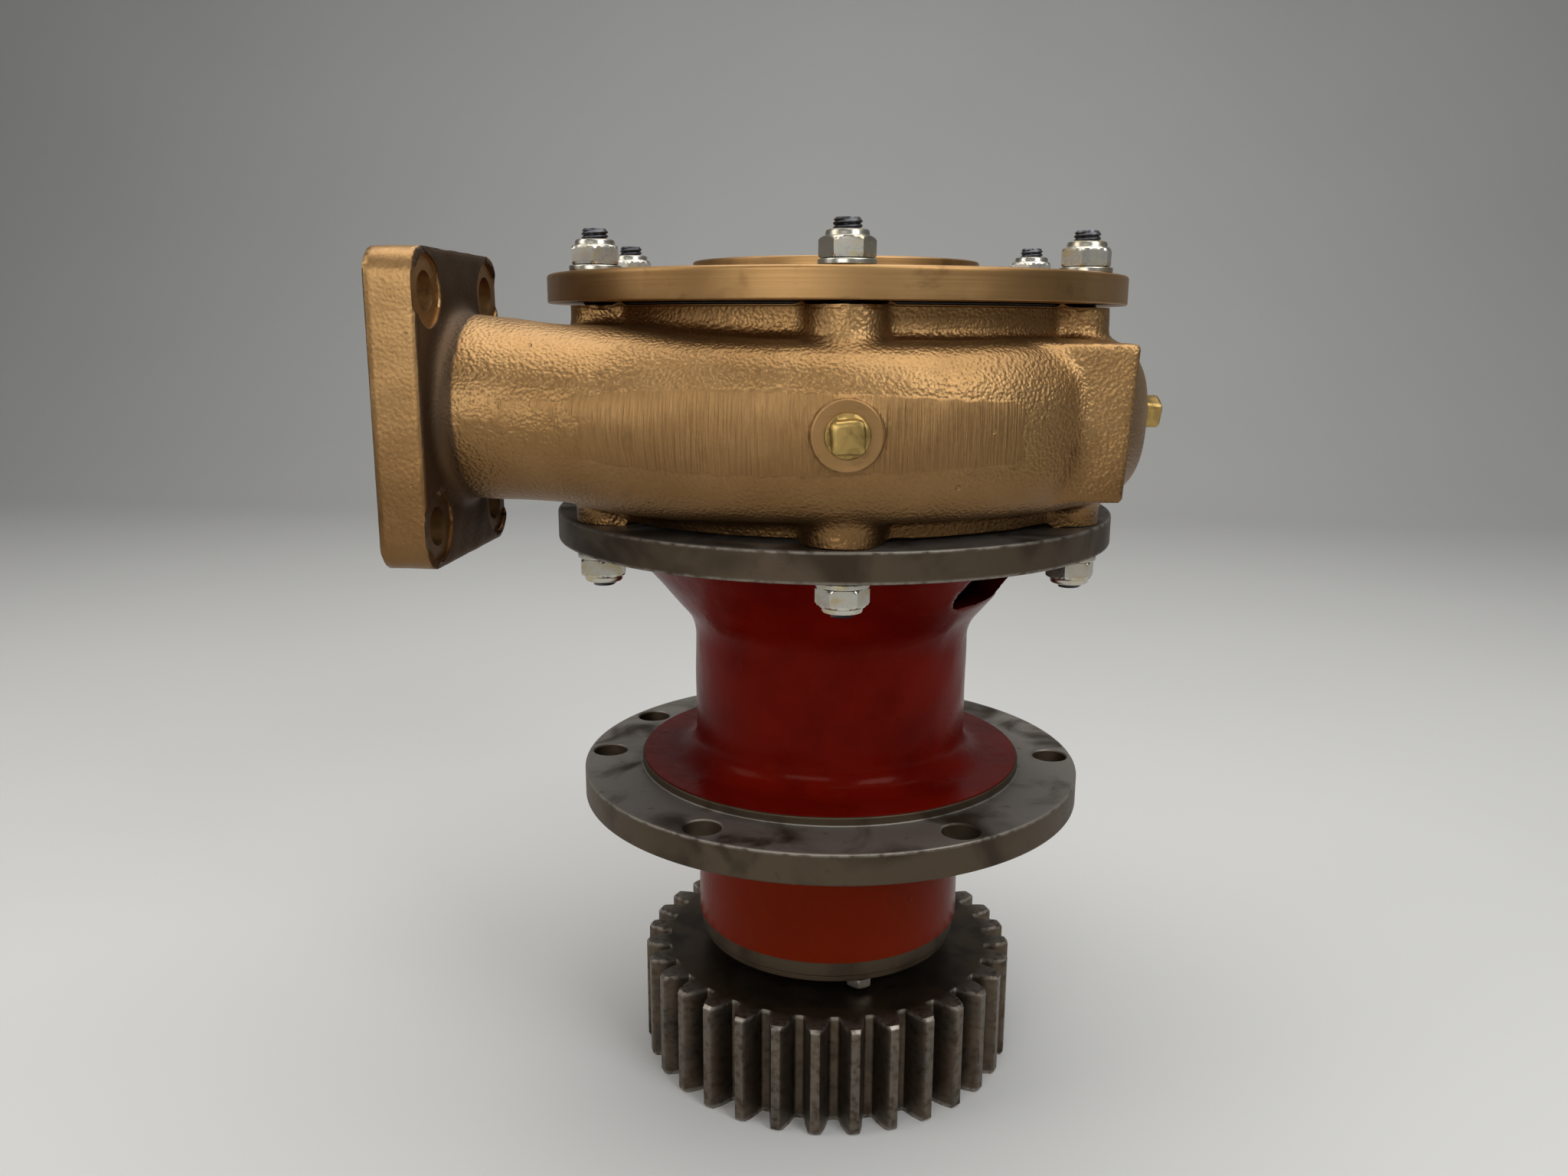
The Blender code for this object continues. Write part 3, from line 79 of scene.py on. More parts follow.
class Signal:
    """A shader output that takes part in arithmetic; every operator adds one Math node."""

    def __init__(self, graph: "NodeGraph", socket: bpy.types.NodeSocket) -> None:
        """Keep the graph and the socket."""
        self.graph = graph
        self.socket = socket

    def math(self, operation: str, *others: "Signal | float") -> "Signal":
        """Return this signal put through one Math node.

        Args:
            operation: The Math node's operation.
            others: The node's further values or signals.

        Returns:
            The Math node's output.
        """
        settings = {"operation": operation}
        inputs = dict(enumerate((self, *others)))
        return self.graph.node("ShaderNodeMath", settings, inputs)

    def __add__(self, other: "Signal | float") -> "Signal":
        """Sum."""
        return self.math("ADD", other)

    def __radd__(self, other: float) -> "Signal":
        """Sum, number first."""
        return self.math("ADD", other)

    def __sub__(self, other: "Signal | float") -> "Signal":
        """Difference."""
        return self.math("SUBTRACT", other)

    def __rsub__(self, other: float) -> "Signal":
        """Difference, number first."""
        return (self * -1.0).math("ADD", other)

    def __mul__(self, other: "Signal | float") -> "Signal":
        """Product."""
        return self.math("MULTIPLY", other)

    def __rmul__(self, other: float) -> "Signal":
        """Product, number first."""
        return self.math("MULTIPLY", other)

    def __truediv__(self, other: "Signal | float") -> "Signal":
        """Quotient."""
        return self.math("DIVIDE", other)

    def ramp(self, low: float, high: float) -> "Signal":
        """Smooth step from 0 at low to 1 at high; low may be the larger."""
        settings = {"interpolation_type": "SMOOTHSTEP"}
        inputs = {"Value": self, "From Min": low, "From Max": high}
        return self.graph.node("ShaderNodeMapRange", settings, inputs)

    def between(self, low: float, high: float, soft: float) -> "Signal":
        """1 between low and high, falling to 0 over the soft distance outside."""
        return self.ramp(low - soft, low) * self.ramp(high + soft, high)

    def either(self, other: "Signal") -> "Signal":
        """The larger of two signals."""
        return self.math("MAXIMUM", other)


class NodeGraph:
    """The node tree of one material, with its Principled shader."""

    def __init__(self, name: str) -> None:
        """Make the material and keep its tree and shader.

        Args:
            name: The material's name.
        """
        self.material = bpy.data.materials.new(name)
        self.material.use_nodes = True
        self.tree = self.material.node_tree
        self.shader = self.tree.nodes["Principled BSDF"]
        self._coordinate: Signal | None = None
        self._axes: tuple[Signal, Signal, Signal] | None = None

    def node(self, kind: str, settings: dict[str, Any] | None = None,
             inputs: dict[Any, Any] | None = None, output: int | str = 0) -> Signal:
        """Add one node.

        Args:
            kind: The node's type.
            settings: Attributes, set before the sockets.
            inputs: Values or signals, by socket name or index.
            output: Which output to return.

        Returns:
            The chosen output.
        """
        made = self.tree.nodes.new(kind)
        for key, value in (settings or {}).items():
            setattr(made, key, value)
        for key, value in (inputs or {}).items():
            self.feed(made.inputs[key], value)
        return Signal(self, made.outputs[output])

    def feed(self, socket: bpy.types.NodeSocket, value: Any) -> None:
        """Link a signal to a socket, or set the socket's own value."""
        if isinstance(value, Signal):
            self.tree.links.new(value.socket, socket)
        elif isinstance(value, tuple) and len(value) == 3 and socket.type == "RGBA":
            socket.default_value = (*value, 1.0)
        else:
            socket.default_value = value

    def set(self, **values: Any) -> None:
        """Feed the Principled shader; an underscore stands for a space in a socket's name."""
        for key, value in values.items():
            self.feed(self.shader.inputs[key.replace("_", " ")], value)

    @property
    def place(self) -> Signal:
        """Object coordinates, in metres."""
        if self._coordinate is None:
            self._coordinate = self.node("ShaderNodeTexCoord", output="Object")
        return self._coordinate

    @property
    def axes(self) -> tuple[Signal, Signal, Signal]:
        """X, Y and Z of the object coordinates."""
        if self._axes is None:
            first = self.node("ShaderNodeSeparateXYZ", inputs={0: self.place})
            outputs = first.socket.node.outputs
            self._axes = tuple(Signal(self, socket) for socket in outputs)
        return self._axes

    def radius(self) -> Signal:
        """Distance from the shaft's axis."""
        x, y, _ = self.axes
        return (x * x + y * y).math("SQRT")

    def bearing(self) -> Signal:
        """Angle about the shaft's axis, in radians."""
        x, y, _ = self.axes
        return y.math("ARCTAN2", x)

    def vector(self, x: Signal | float, y: Signal | float, z: Signal | float) -> Signal:
        """Join three values into a vector."""
        return self.node("ShaderNodeCombineXYZ", inputs={0: x, 1: y, 2: z})

    def noise(self, size: float, detail: float = 4.0, at: Signal | None = None,
              stretch: Point = (1.0, 1.0, 1.0), warp: float = 0.0) -> Signal:
        """Fractal noise with features of about the given size in metres.

        Args:
            size: Width of the largest features.
            detail: Octaves.
            at: Coordinates, object coordinates if left out.
            stretch: Factors that squeeze the pattern along each axis.
            warp: Distortion.

        Returns:
            The noise factor, about 0.5 on average.
        """
        where = at or self.place
        if stretch != (1.0, 1.0, 1.0):
            where = self.node("ShaderNodeMapping", inputs={"Vector": where, "Scale": stretch})
        inputs = {"Vector": where, "Scale": 1.0 / size, "Detail": detail, "Distortion": warp}
        return self.node("ShaderNodeTexNoise", inputs=inputs)

    def cells(self, size: float, feature: str = "F1") -> Signal:
        """Cell pattern with cells of the given size in metres."""
        inputs = {"Vector": self.place, "Scale": 1.0 / size}
        return self.node("ShaderNodeTexVoronoi", {"feature": feature}, inputs, "Distance")

    def mix(self, share: Signal | float, first: Any, second: Any) -> Signal:
        """Blend two colours."""
        settings = {"data_type": "RGBA", "clamp_factor": True}
        made = self.node("ShaderNodeMix", settings, output=2)
        sockets = made.socket.node.inputs
        self.feed(sockets[0], share)
        self.feed(sockets[6], first)
        self.feed(sockets[7], second)
        return made

    def attribute(self, name: str) -> Signal:
        """A value stored at the mesh's points."""
        return self.node("ShaderNodeAttribute", {"attribute_name": name}, output="Fac")

    def bump(self, height: Signal, strength: float, distance: float) -> Signal:
        """Normal tilted by a height pattern.

        Args:
            height: The pattern, 0 to 1.
            strength: Share of the full effect.
            distance: Height in metres of a full step.

        Returns:
            The bumped normal.
        """
        inputs = {"Height": height, "Strength": strength, "Distance": distance}
        return self.node("ShaderNodeBump", inputs=inputs, output="Normal")


Colour = tuple[float, float, float]


class BronzeCut(Enum):
    """How a bronze surface was made."""

    CAST = "cast"
    TURNED = "turned"


@dataclass(frozen=True)
class Bronze:
    """Golden-brown bronze, sand cast with ground patches, or turned."""

    cut: BronzeCut
    light: Colour = (0.365, 0.218, 0.092)
    middle: Colour = (0.290, 0.166, 0.066)
    dark: Colour = (0.120, 0.060, 0.023)
    tarnish: Colour = (0.050, 0.034, 0.025)

    def build(self) -> bpy.types.Material:
        """Return the material.

        Cast skin is a mix of grains a millimetre or two wide; the ground band shows close
        upright strokes; machined and tarnished areas come from point attributes; the lower
        side of the volute is darkened as painted shade.
        """
        graph = NodeGraph(f"bronze_{self.cut.value}")
        x, _, z = graph.axes
        cloud = graph.noise(0.045, 5.0, warp=0.6)
        blotch = graph.noise(0.012, 4.0)
        tone = graph.mix(cloud.ramp(0.35, 0.68), self.middle, self.light)
        tone = graph.mix(blotch.ramp(0.60, 0.78) * 0.45, tone, self.dark)
        if self.cut is BronzeCut.TURNED:
            ring = graph.vector(graph.radius(), 0.0, z)
            lines = graph.noise(0.0009, 3.0, at=ring)
            coarse = graph.noise(0.004, 3.0, at=ring)
            streak = graph.noise(0.010, 4.0, stretch=(1.0, 1.0, 2.5))
            tone = graph.mix(streak.ramp(0.58, 0.75) * 0.35, tone, self.dark)
            rough = 0.30 + cloud * 0.16 + lines * 0.10
            height = lines * 0.7 + coarse * 0.5
            graph.set(Normal=graph.bump(height, 0.35, 0.00018))
            graph.set(Base_Color=tone, Roughness=rough, Metallic=1.0)
            return graph.material
        ground = graph.attribute("ground")
        machined = graph.attribute("machined")
        stain = graph.attribute("tarnish")
        grain = graph.noise(0.0013, 3.0)
        pebble = graph.cells(0.0012, "SMOOTH_F1")
        skin = (grain * 0.5 + pebble * 0.9) * x.ramp(-0.1340, -0.1240).math("MAXIMUM", 0.30)
        strokes_at = graph.vector(graph.bearing() * 0.13, x * 0.35, z * 0.06)
        strokes = graph.noise(0.0010, 3.0, at=strokes_at)
        sweep = graph.noise(0.007, 2.0, at=strokes_at)
        edge = graph.noise(0.006, 5.0)
        ground_mask = (ground + (edge - 0.5) * 0.7).ramp(0.40, 0.62)
        machined_mask = machined.ramp(0.35, 0.65)
        stain_mask = (stain + (edge - 0.5) * 0.5).ramp(0.30, 0.75)
        pits = graph.cells(0.011).ramp(0.10, 0.055) * graph.noise(0.03).ramp(0.52, 0.62)
        tone = graph.mix(grain.ramp(0.60, 0.35) * 0.14, tone, self.dark)
        filed = graph.mix(strokes.ramp(0.35, 0.65) * 0.5 + 0.5, self.dark, self.middle)
        tone = graph.mix(ground_mask * 0.40, tone, filed)
        tone = graph.mix(stain_mask * 0.88, tone, self.tarnish)
        tone = graph.mix(machined_mask * 0.6, tone, self.middle)
        # painted shade: the bronze darkens toward the volute's underside, from z 0.305 m down to 0.265
        # m
        tone = graph.mix(z.ramp(0.305, 0.265) * 0.60, tone, self.dark)
        height = skin * (1.0 - ground_mask * 0.85) * (1.0 - machined_mask)
        height = height + strokes * ground_mask * 1.8 + sweep * ground_mask * 0.3 - pits * 1.2
        rough = 0.36 + grain * 0.14 + stain_mask * 0.14 + ground_mask * 0.05
        graph.set(Base_Color=tone, Roughness=rough, Metallic=1.0)
        graph.set(Normal=graph.bump(height, 0.80, 0.00042))
        return graph.material


@dataclass(frozen=True)
class MachinedIron:
    """Bare turned grey iron: dull grey brown with stains, rims lightened as rubbed metal and painted
    highlight, and upward faces lightened as painted reflection.
    """

    base: Colour = (0.084, 0.061, 0.039)
    stain: Colour = (0.042, 0.029, 0.018)
    bright: Colour = (0.26, 0.235, 0.20)
    face: Colour = (0.30, 0.28, 0.255)
    rims: tuple[tuple[float, float], ...] = ((0.1107, 0.1377), (0.1187, 0.2535), (0.1187, 0.2414))

    def build(self) -> bpy.types.Material:
        """Return the material; each rim brightens within about a millimetre of its edge."""
        graph = NodeGraph("iron_machined")
        _, _, z = graph.axes
        radius = graph.radius()
        cloud = graph.noise(0.030, 5.0, warp=0.8)
        fine = graph.noise(0.006, 4.0)
        lines = graph.noise(0.0008, 3.0, at=graph.vector(radius, 0.0, z))
        # painted reflection: the flanges' upward faces at z 0.1377 m and 0.2535 m are lightened toward
        # the face colour
        face = z.between(0.1374, 0.1381, 0.0003).either(z.between(0.2532, 0.2540, 0.0003))
        tone = graph.mix(face * 0.75, self.base, self.face)
        tone = graph.mix(cloud.ramp(0.42, 0.70), tone, self.stain)
        tone = graph.mix(fine.ramp(0.62, 0.80) * 0.6, tone, self.stain)
        # rubbed metal and painted highlight: each rim's edge is lightened in broken patches
        rub_and_glint_breakup = graph.noise(0.004, 3.0).ramp(0.30, 0.60)
        rim_wear_and_highlight: Signal | None = None
        for rim_radius, rim_height in self.rims:
            off = (radius - rim_radius).math("ABSOLUTE") + (z - rim_height).math("ABSOLUTE")
            band = off.ramp(0.0016, 0.0004)
            rim_wear_and_highlight = band if rim_wear_and_highlight is None else rim_wear_and_highlight.either(band)
        tone = graph.mix(rim_wear_and_highlight * rub_and_glint_breakup * 0.85, tone, self.bright)
        graph.set(Base_Color=tone, Metallic=0.85)
        graph.set(Roughness=0.40 + cloud * 0.20 + lines * 0.08)
        graph.set(Normal=graph.bump(lines * 0.6 + fine * 0.5, 0.35, 0.00012))
        return graph.material


@dataclass(frozen=True)
class RedPaint:
    """Thick glossy red paint over an iron casting."""

    red: Colour = (0.118, 0.0036, 0.0010)
    deep: Colour = (0.074, 0.0018, 0.0006)
    orange: Colour = (0.128, 0.0115, 0.0012)

    def build(self) -> bpy.types.Material:
        """Return the material: slow waves under the gloss, small lumps and a few runs."""
        graph = NodeGraph("paint_red")
        _, _, z = graph.axes
        cloud = graph.noise(0.040, 4.0)
        lumps = graph.noise(0.0085, 2.0)
        nibs = graph.cells(0.0065, "SMOOTH_F1").ramp(0.18, 0.02) * graph.noise(0.02).ramp(0.50, 0.66)
        runs = graph.noise(0.007, 3.0, stretch=(1.0, 1.0, 0.16))
        tone = graph.mix(cloud.ramp(0.35, 0.70), self.red, self.deep)
        low = z.ramp(0.128, 0.118)
        tone = graph.mix(low * 0.7 + lumps.ramp(0.55, 0.75) * 0.12, tone, self.orange)
        graph.set(Base_Color=tone, Roughness=0.20 + cloud * 0.08 + lumps * 0.06)
        graph.set(Specular_IOR_Level=0.06, Specular_Tint=(1.0, 0.40, 0.30, 1.0))
        graph.set(Coat_Weight=0.02, Coat_Roughness=0.06)
        height = lumps * 0.7 + nibs * 0.9 + runs * 0.5
        graph.set(Normal=graph.bump(height, 0.50, 0.00055))
        return graph.material


@dataclass(frozen=True)
class GearSteel:
    """Oiled dark gear steel, lightened along its edges as worn metal and painted highlight."""

    base: Colour = (0.084, 0.056, 0.034)
    oil: Colour = (0.042, 0.030, 0.020)
    bright: Colour = (0.34, 0.31, 0.27)

    def build(self) -> bpy.types.Material:
        """Return the material; the edge brightness comes from a point attribute."""
        graph = NodeGraph("steel_gear")
        _, _, z = graph.axes
        cloud = graph.noise(0.016, 5.0, warp=0.5)
        upright = graph.noise(0.0022, 3.0, stretch=(1.0, 1.0, 0.05))
        lines = graph.noise(0.0011, 3.0, at=graph.vector(graph.radius(), 0.0, z))
        tone = graph.mix(cloud.ramp(0.40, 0.68), self.base, self.oil)
        # worn metal and painted highlight: edges marked in the edge attribute are lightened in broken
        # patches
        edge = graph.attribute("edge") * graph.noise(0.003).ramp(0.25, 0.60)
        tone = graph.mix(edge * 0.9, tone, self.bright)
        graph.set(Base_Color=tone, Metallic=0.92)
        graph.set(Roughness=0.27 + cloud * 0.20 + upright * 0.08)
        graph.set(Normal=graph.bump(upright * 0.5 + lines * 0.5, 0.35, 0.00015))
        return graph.material


@dataclass(frozen=True)
class ZincPlate:
    """Bright zinc with a thin yellow and pink bloom."""

    silver: Colour = (0.50, 0.48, 0.42)
    yellow: Colour = (0.45, 0.37, 0.21)
    violet: Colour = (0.40, 0.36, 0.37)

    def build(self) -> bpy.types.Material:
        """Return the material."""
        graph = NodeGraph("zinc_plate")
        cloud = graph.noise(0.009, 4.0, warp=1.0)
        fine = graph.noise(0.0016, 3.0)
        tone = graph.mix(cloud.ramp(0.45, 0.75), self.silver, self.yellow)
        tone = graph.mix(graph.noise(0.012, 3.0).ramp(0.60, 0.72) * 0.7, tone, self.violet)
        graph.set(Base_Color=tone, Metallic=1.0, Roughness=0.17 + cloud * 0.16 + fine * 0.08)
        graph.set(Normal=graph.bump(fine, 0.15, 0.00008))
        return graph.material


@dataclass(frozen=True)
class PlainMetal:
    """A metal with a soft mottle and fine scratches, sized by its fields."""

    name: str
    light: Colour
    dark: Colour
    roughness: float = 0.30
    metallic: float = 1.0
    mottle: float = 0.010

    def build(self) -> bpy.types.Material:
        """Return the material."""
        graph = NodeGraph(self.name)
        cloud = graph.noise(self.mottle, 5.0, warp=0.6)
        scratch = graph.noise(0.0012, 2.0, stretch=(1.0, 0.2, 1.0))
        tone = graph.mix(cloud.ramp(0.38, 0.70), self.light, self.dark)
        graph.set(Base_Color=tone, Metallic=self.metallic)
        graph.set(Roughness=self.roughness - 0.06 + cloud * 0.16 + scratch * 0.06)
        graph.set(Normal=graph.bump(scratch * 0.6 + cloud * 0.4, 0.30, 0.00015))
        return graph.material


@dataclass(frozen=True)
class SoftBlack:
    """Black rubber or carbon with a faint grey dust."""

    name: str
    base: Colour = (0.020, 0.020, 0.021)
    dust: Colour = (0.060, 0.056, 0.052)
    roughness: float = 0.55

    def build(self) -> bpy.types.Material:
        """Return the material."""
        graph = NodeGraph(self.name)
        cloud = graph.noise(0.008, 4.0)
        fine = graph.noise(0.0010, 3.0)
        graph.set(Base_Color=graph.mix(cloud.ramp(0.50, 0.75) * 0.6, self.base, self.dust))
        graph.set(Roughness=self.roughness + cloud * 0.15, Metallic=0.0)
        graph.set(Normal=graph.bump(fine, 0.30, 0.00010))
        return graph.material


class Finishes:
    """Every finish of the pump, built once."""

    def __init__(self) -> None:
        """Build the materials."""
        self.cast_bronze = Bronze(BronzeCut.CAST).build()
        self.turned_bronze = Bronze(BronzeCut.TURNED).build()
        self.iron = MachinedIron().build()
        self.red = RedPaint().build()
        self.gear = GearSteel().build()
        self.zinc = ZincPlate().build()
        self.thread = PlainMetal(
            "steel_thread", (0.10, 0.10, 0.11), (0.035, 0.034, 0.036), 0.34).build()
        self.brass = PlainMetal(
            "brass_bar", (0.40, 0.270, 0.092), (0.21, 0.14, 0.048), 0.36, mottle=0.006).build()
        self.steel = PlainMetal(
            "steel_turned", (0.46, 0.45, 0.43), (0.26, 0.25, 0.24), 0.30).build()
        self.rubber = SoftBlack("rubber_black").build()
        self.carbon = SoftBlack("carbon_lapped", roughness=0.32).build()
        self.ceramic = PlainMetal(
            "ceramic_seat", (0.74, 0.72, 0.67), (0.62, 0.60, 0.56), 0.22, 0.0).build()


# ---------------------------------------------------------------------------
# Surfaces
# ---------------------------------------------------------------------------


def finish_mesh(name: str, vertices: Array, faces: Array, material: bpy.types.Material,
                sharp: float = 38.0, outward: bool = True) -> bpy.types.Object:
    """Put points and four-cornered faces into a mesh object, welded, smooth and facing out.

    Args:
        name: The piece's name.
        vertices: Points, one row each.
        faces: Point numbers, four to a row.
        material: The piece's finish.
        sharp: Edges steeper than this angle in degrees stay crisp.
        outward: True to weld coincident points and turn the faces outward.

    Returns:
        The linked object.
    """
    mesh = bpy.data.meshes.new(name)
    mesh.vertices.add(len(vertices))
    mesh.vertices.foreach_set("co", np.ascontiguousarray(vertices, dtype=np.float32).ravel())
    mesh.loops.add(faces.size)
    mesh.loops.foreach_set("vertex_index", np.ascontiguousarray(faces, dtype=np.int32).ravel())
    mesh.polygons.add(len(faces))
    mesh.polygons.foreach_set("loop_start", np.arange(0, faces.size, 4, dtype=np.int32))
    mesh.update(calc_edges=True)
    if outward:
        shape = bmesh.new()
        shape.from_mesh(mesh)
        bmesh.ops.remove_doubles(shape, verts=shape.verts[:], dist=1e-6)
        bmesh.ops.recalc_face_normals(shape, faces=shape.faces[:])
        shape.to_mesh(mesh)
        shape.free()
    mesh.materials.append(material)
    mesh.shade_smooth()
    mesh.set_sharp_from_angle(angle=math.radians(sharp))
    piece = bpy.data.objects.new(name, mesh)
    bpy.context.scene.collection.objects.link(piece)
    return piece


def add_mask(piece: bpy.types.Object, name: str, values: Array) -> None:
    """Store one number a point under a name, for the finish to read."""
    layer = piece.data.attributes.new(name, "FLOAT", "POINT")
    layer.data.foreach_set("value", values.astype(np.float32))


def grid_faces(rows: int, columns: int, close_rows: bool, close_columns: bool = True) -> Array:
    """Point numbers of a grid's quads: each joins a point to its next row and next column."""
    row = np.arange(rows if close_rows else rows - 1)
    column = np.arange(columns if close_columns else columns - 1)
    i, j = np.meshgrid(row, column, indexing="ij")
    below = (i + 1) % rows
    beside = (j + 1) % columns
    corners = [i * columns + j, i * columns + beside, below * columns + beside, below * columns + j]
    return np.stack(corners, axis=-1).reshape(-1, 4)


def rounded_outline(corners: Sequence[tuple[float, float, float]], steps: int = 4) -> Array:
    """Closed outline whose corners become arcs.

    Each corner (a, b, radius) gives the conic through its two tangent points, weighted so
    that it is a circle's arc, with one more point just outside each end of the arc to hold
    the flat sides flat.

    Args:
        corners: Corner points and their radii.
        steps: Spans in an arc.

    Returns:
        The outline's points, one row each.
    """
    points: list[Array] = []
    count = len(corners)
    for i, (a, b, radius) in enumerate(corners):
        here = np.array([a, b])
        if radius <= 0.0:
            points.append(here[None])
            continue
        before = np.array(corners[i - 1][:2]) - here
        after = np.array(corners[(i + 1) % count][:2]) - here
        long_before, long_after = np.linalg.norm(before), np.linalg.norm(after)
        before, after = before / long_before, after / long_after
        half = 0.5 * math.acos(float(np.clip(before @ after, -1.0, 1.0)))
        reach = min(radius / math.tan(half), 0.45 * long_before, 0.45 * long_after)
        first, last = here + before * reach, here + after * reach
        t = np.linspace(0.0, 1.0, steps + 1)[:, None]
        weight = 2.0 * t * (1.0 - t) * math.sin(half)
        total = (1.0 - t) ** 2 + weight + t ** 2
        arc = ((1.0 - t) ** 2 * first + weight * here + t ** 2 * last) / total
        hold = min(0.0006, 0.04 * min(long_before, long_after))
        points += [(first + before * hold)[None], arc, (last + after * hold)[None]]
    return np.concatenate(points)


def turned(name: str, outline: Array, material: bpy.types.Material, segments: int = 160,
           closed: bool = True, place: Matrix | None = None) -> bpy.types.Object:
    """Turn an outline of (radius, height) points about Z.

    Point (i, j) is (r_i cos t_j, r_i sin t_j, z_i), with t_j = 2 pi j / segments.

    Args:
        name: The piece's name.
        outline: The half section.
        material: The finish.
        segments: Points round the circle.
        closed: True when the outline is a loop, False when its ends lie on the axis.
        place: Where the turned axis goes.

    Returns:
        The piece.
    """
    angle = np.arange(segments) * TAU / segments
    radius, height = outline[:, :1], outline[:, 1:]
    points = np.stack([radius * np.cos(angle), radius * np.sin(angle),
                       np.broadcast_to(height, (len(outline), segments))], axis=-1)
    points = moved(points.reshape(-1, 3), place)
    return finish_mesh(name, points, grid_faces(len(outline), segments, closed), material)


def moved(points: Array, place: Matrix | None) -> Array:
    """Points carried by a matrix."""
    if place is None:
        return points
    matrix = np.array(place)
    return points @ matrix[:3, :3].T + matrix[:3, 3]


def shaped_bar(name: str, rows: Array, reach: Callable[[Array, Array], Array], segments: int,
               material: bpy.types.Material, place: Matrix | None = None,
               turns: float = 0.0, sharp: float = 38.0, closed: bool = False) -> bpy.types.Object:
    """Bar along Z whose radius is a function of angle and of a (limit, height) row.

    Args:
        name: The piece's name.
        rows: (limit, height) pairs; in an open bar the first and last have limit 0.
        reach: Gives the radius from the angle and the row's limit.
        segments: Points round the bar.
        material: The finish.
        place: Where the bar goes.
        turns: Angle added to every point.
        sharp: Crisp edge angle.
        closed: True when the rows make a loop, for a bar with a hole.

    Returns:
        The piece.
    """
    angle = np.arange(segments) * TAU / segments
    limit, height = rows[:, :1], rows[:, 1:]
    radius = reach(np.broadcast_to(angle, (len(rows), segments)), limit)
    spin = angle + turns
    points = np.stack([radius * np.cos(spin), radius * np.sin(spin),
                       np.broadcast_to(height, radius.shape)], axis=-1)
    points = moved(points.reshape(-1, 3), place)
    return finish_mesh(name, points, grid_faces(len(rows), segments, closed), material, sharp)


def flats(sides: int, across: float) -> Callable[[Array, Array], Array]:
    """Radius of a regular bar with flats: half the width over the cosine of the angle from
    the nearest flat, held below the row's limit, which makes the turned chamfer.

    Args:
        sides: How many flats.
        across: The width over two opposite flats.

    Returns:
        The radius as a function of the angle and the row's limit.
    """
    sector = TAU / sides

    def reach(angle: Array, limit: Array) -> Array:
        """The smaller of the flat's radius and the limit."""
        off = np.mod(angle + sector / 2.0, sector) - sector / 2.0
        return np.minimum(across / 2.0 / np.cos(off), limit)

    return reach


def at_polar(radius: float, angle: float, height: float = 0.0) -> Vector:
    """Point at a radius and angle about the shaft."""
    return Vector((radius * math.cos(angle), radius * math.sin(angle), height))


# ---------------------------------------------------------------------------
# Cast shapes as fields
# ---------------------------------------------------------------------------


def join(first: Array, second: Array, fillet: float) -> Array:
    """Union of two fields: the smaller, less h squared times the fillet over 4, where h is
    how far the two are from differing by the fillet."""
    near = np.maximum(fillet - np.abs(first - second), 0.0) / fillet
    return np.minimum(first, second) - near * near * fillet / 4.0


def cut(first: Array, second: Array, fillet: float) -> Array:
    """First field with the second taken away, its rim rounded."""
    return -join(-first, second, fillet)


def ease(value: Array) -> Array:
    """Smooth step of a value held between 0 and 1."""
    held = np.clip(value, 0.0, 1.0)
    return held * held * (3.0 - 2.0 * held)


def ripple(points: Array, size: float, seed: float) -> Array:
    """Slow unevenness of a sand casting, between -1 and 1: the mean of four sine waves."""
    total = np.zeros(points.shape[:-1])
    for k in range(4):
        way = np.array([math.sin(seed + 2.1 * k), math.cos(1.7 * seed + k), math.sin(3.1 * k + seed)])
        way /= np.linalg.norm(way)
        total += np.sin(points @ way * (TAU / size) * (1.0 + 0.37 * k) + seed * k)
    return total / 4.0


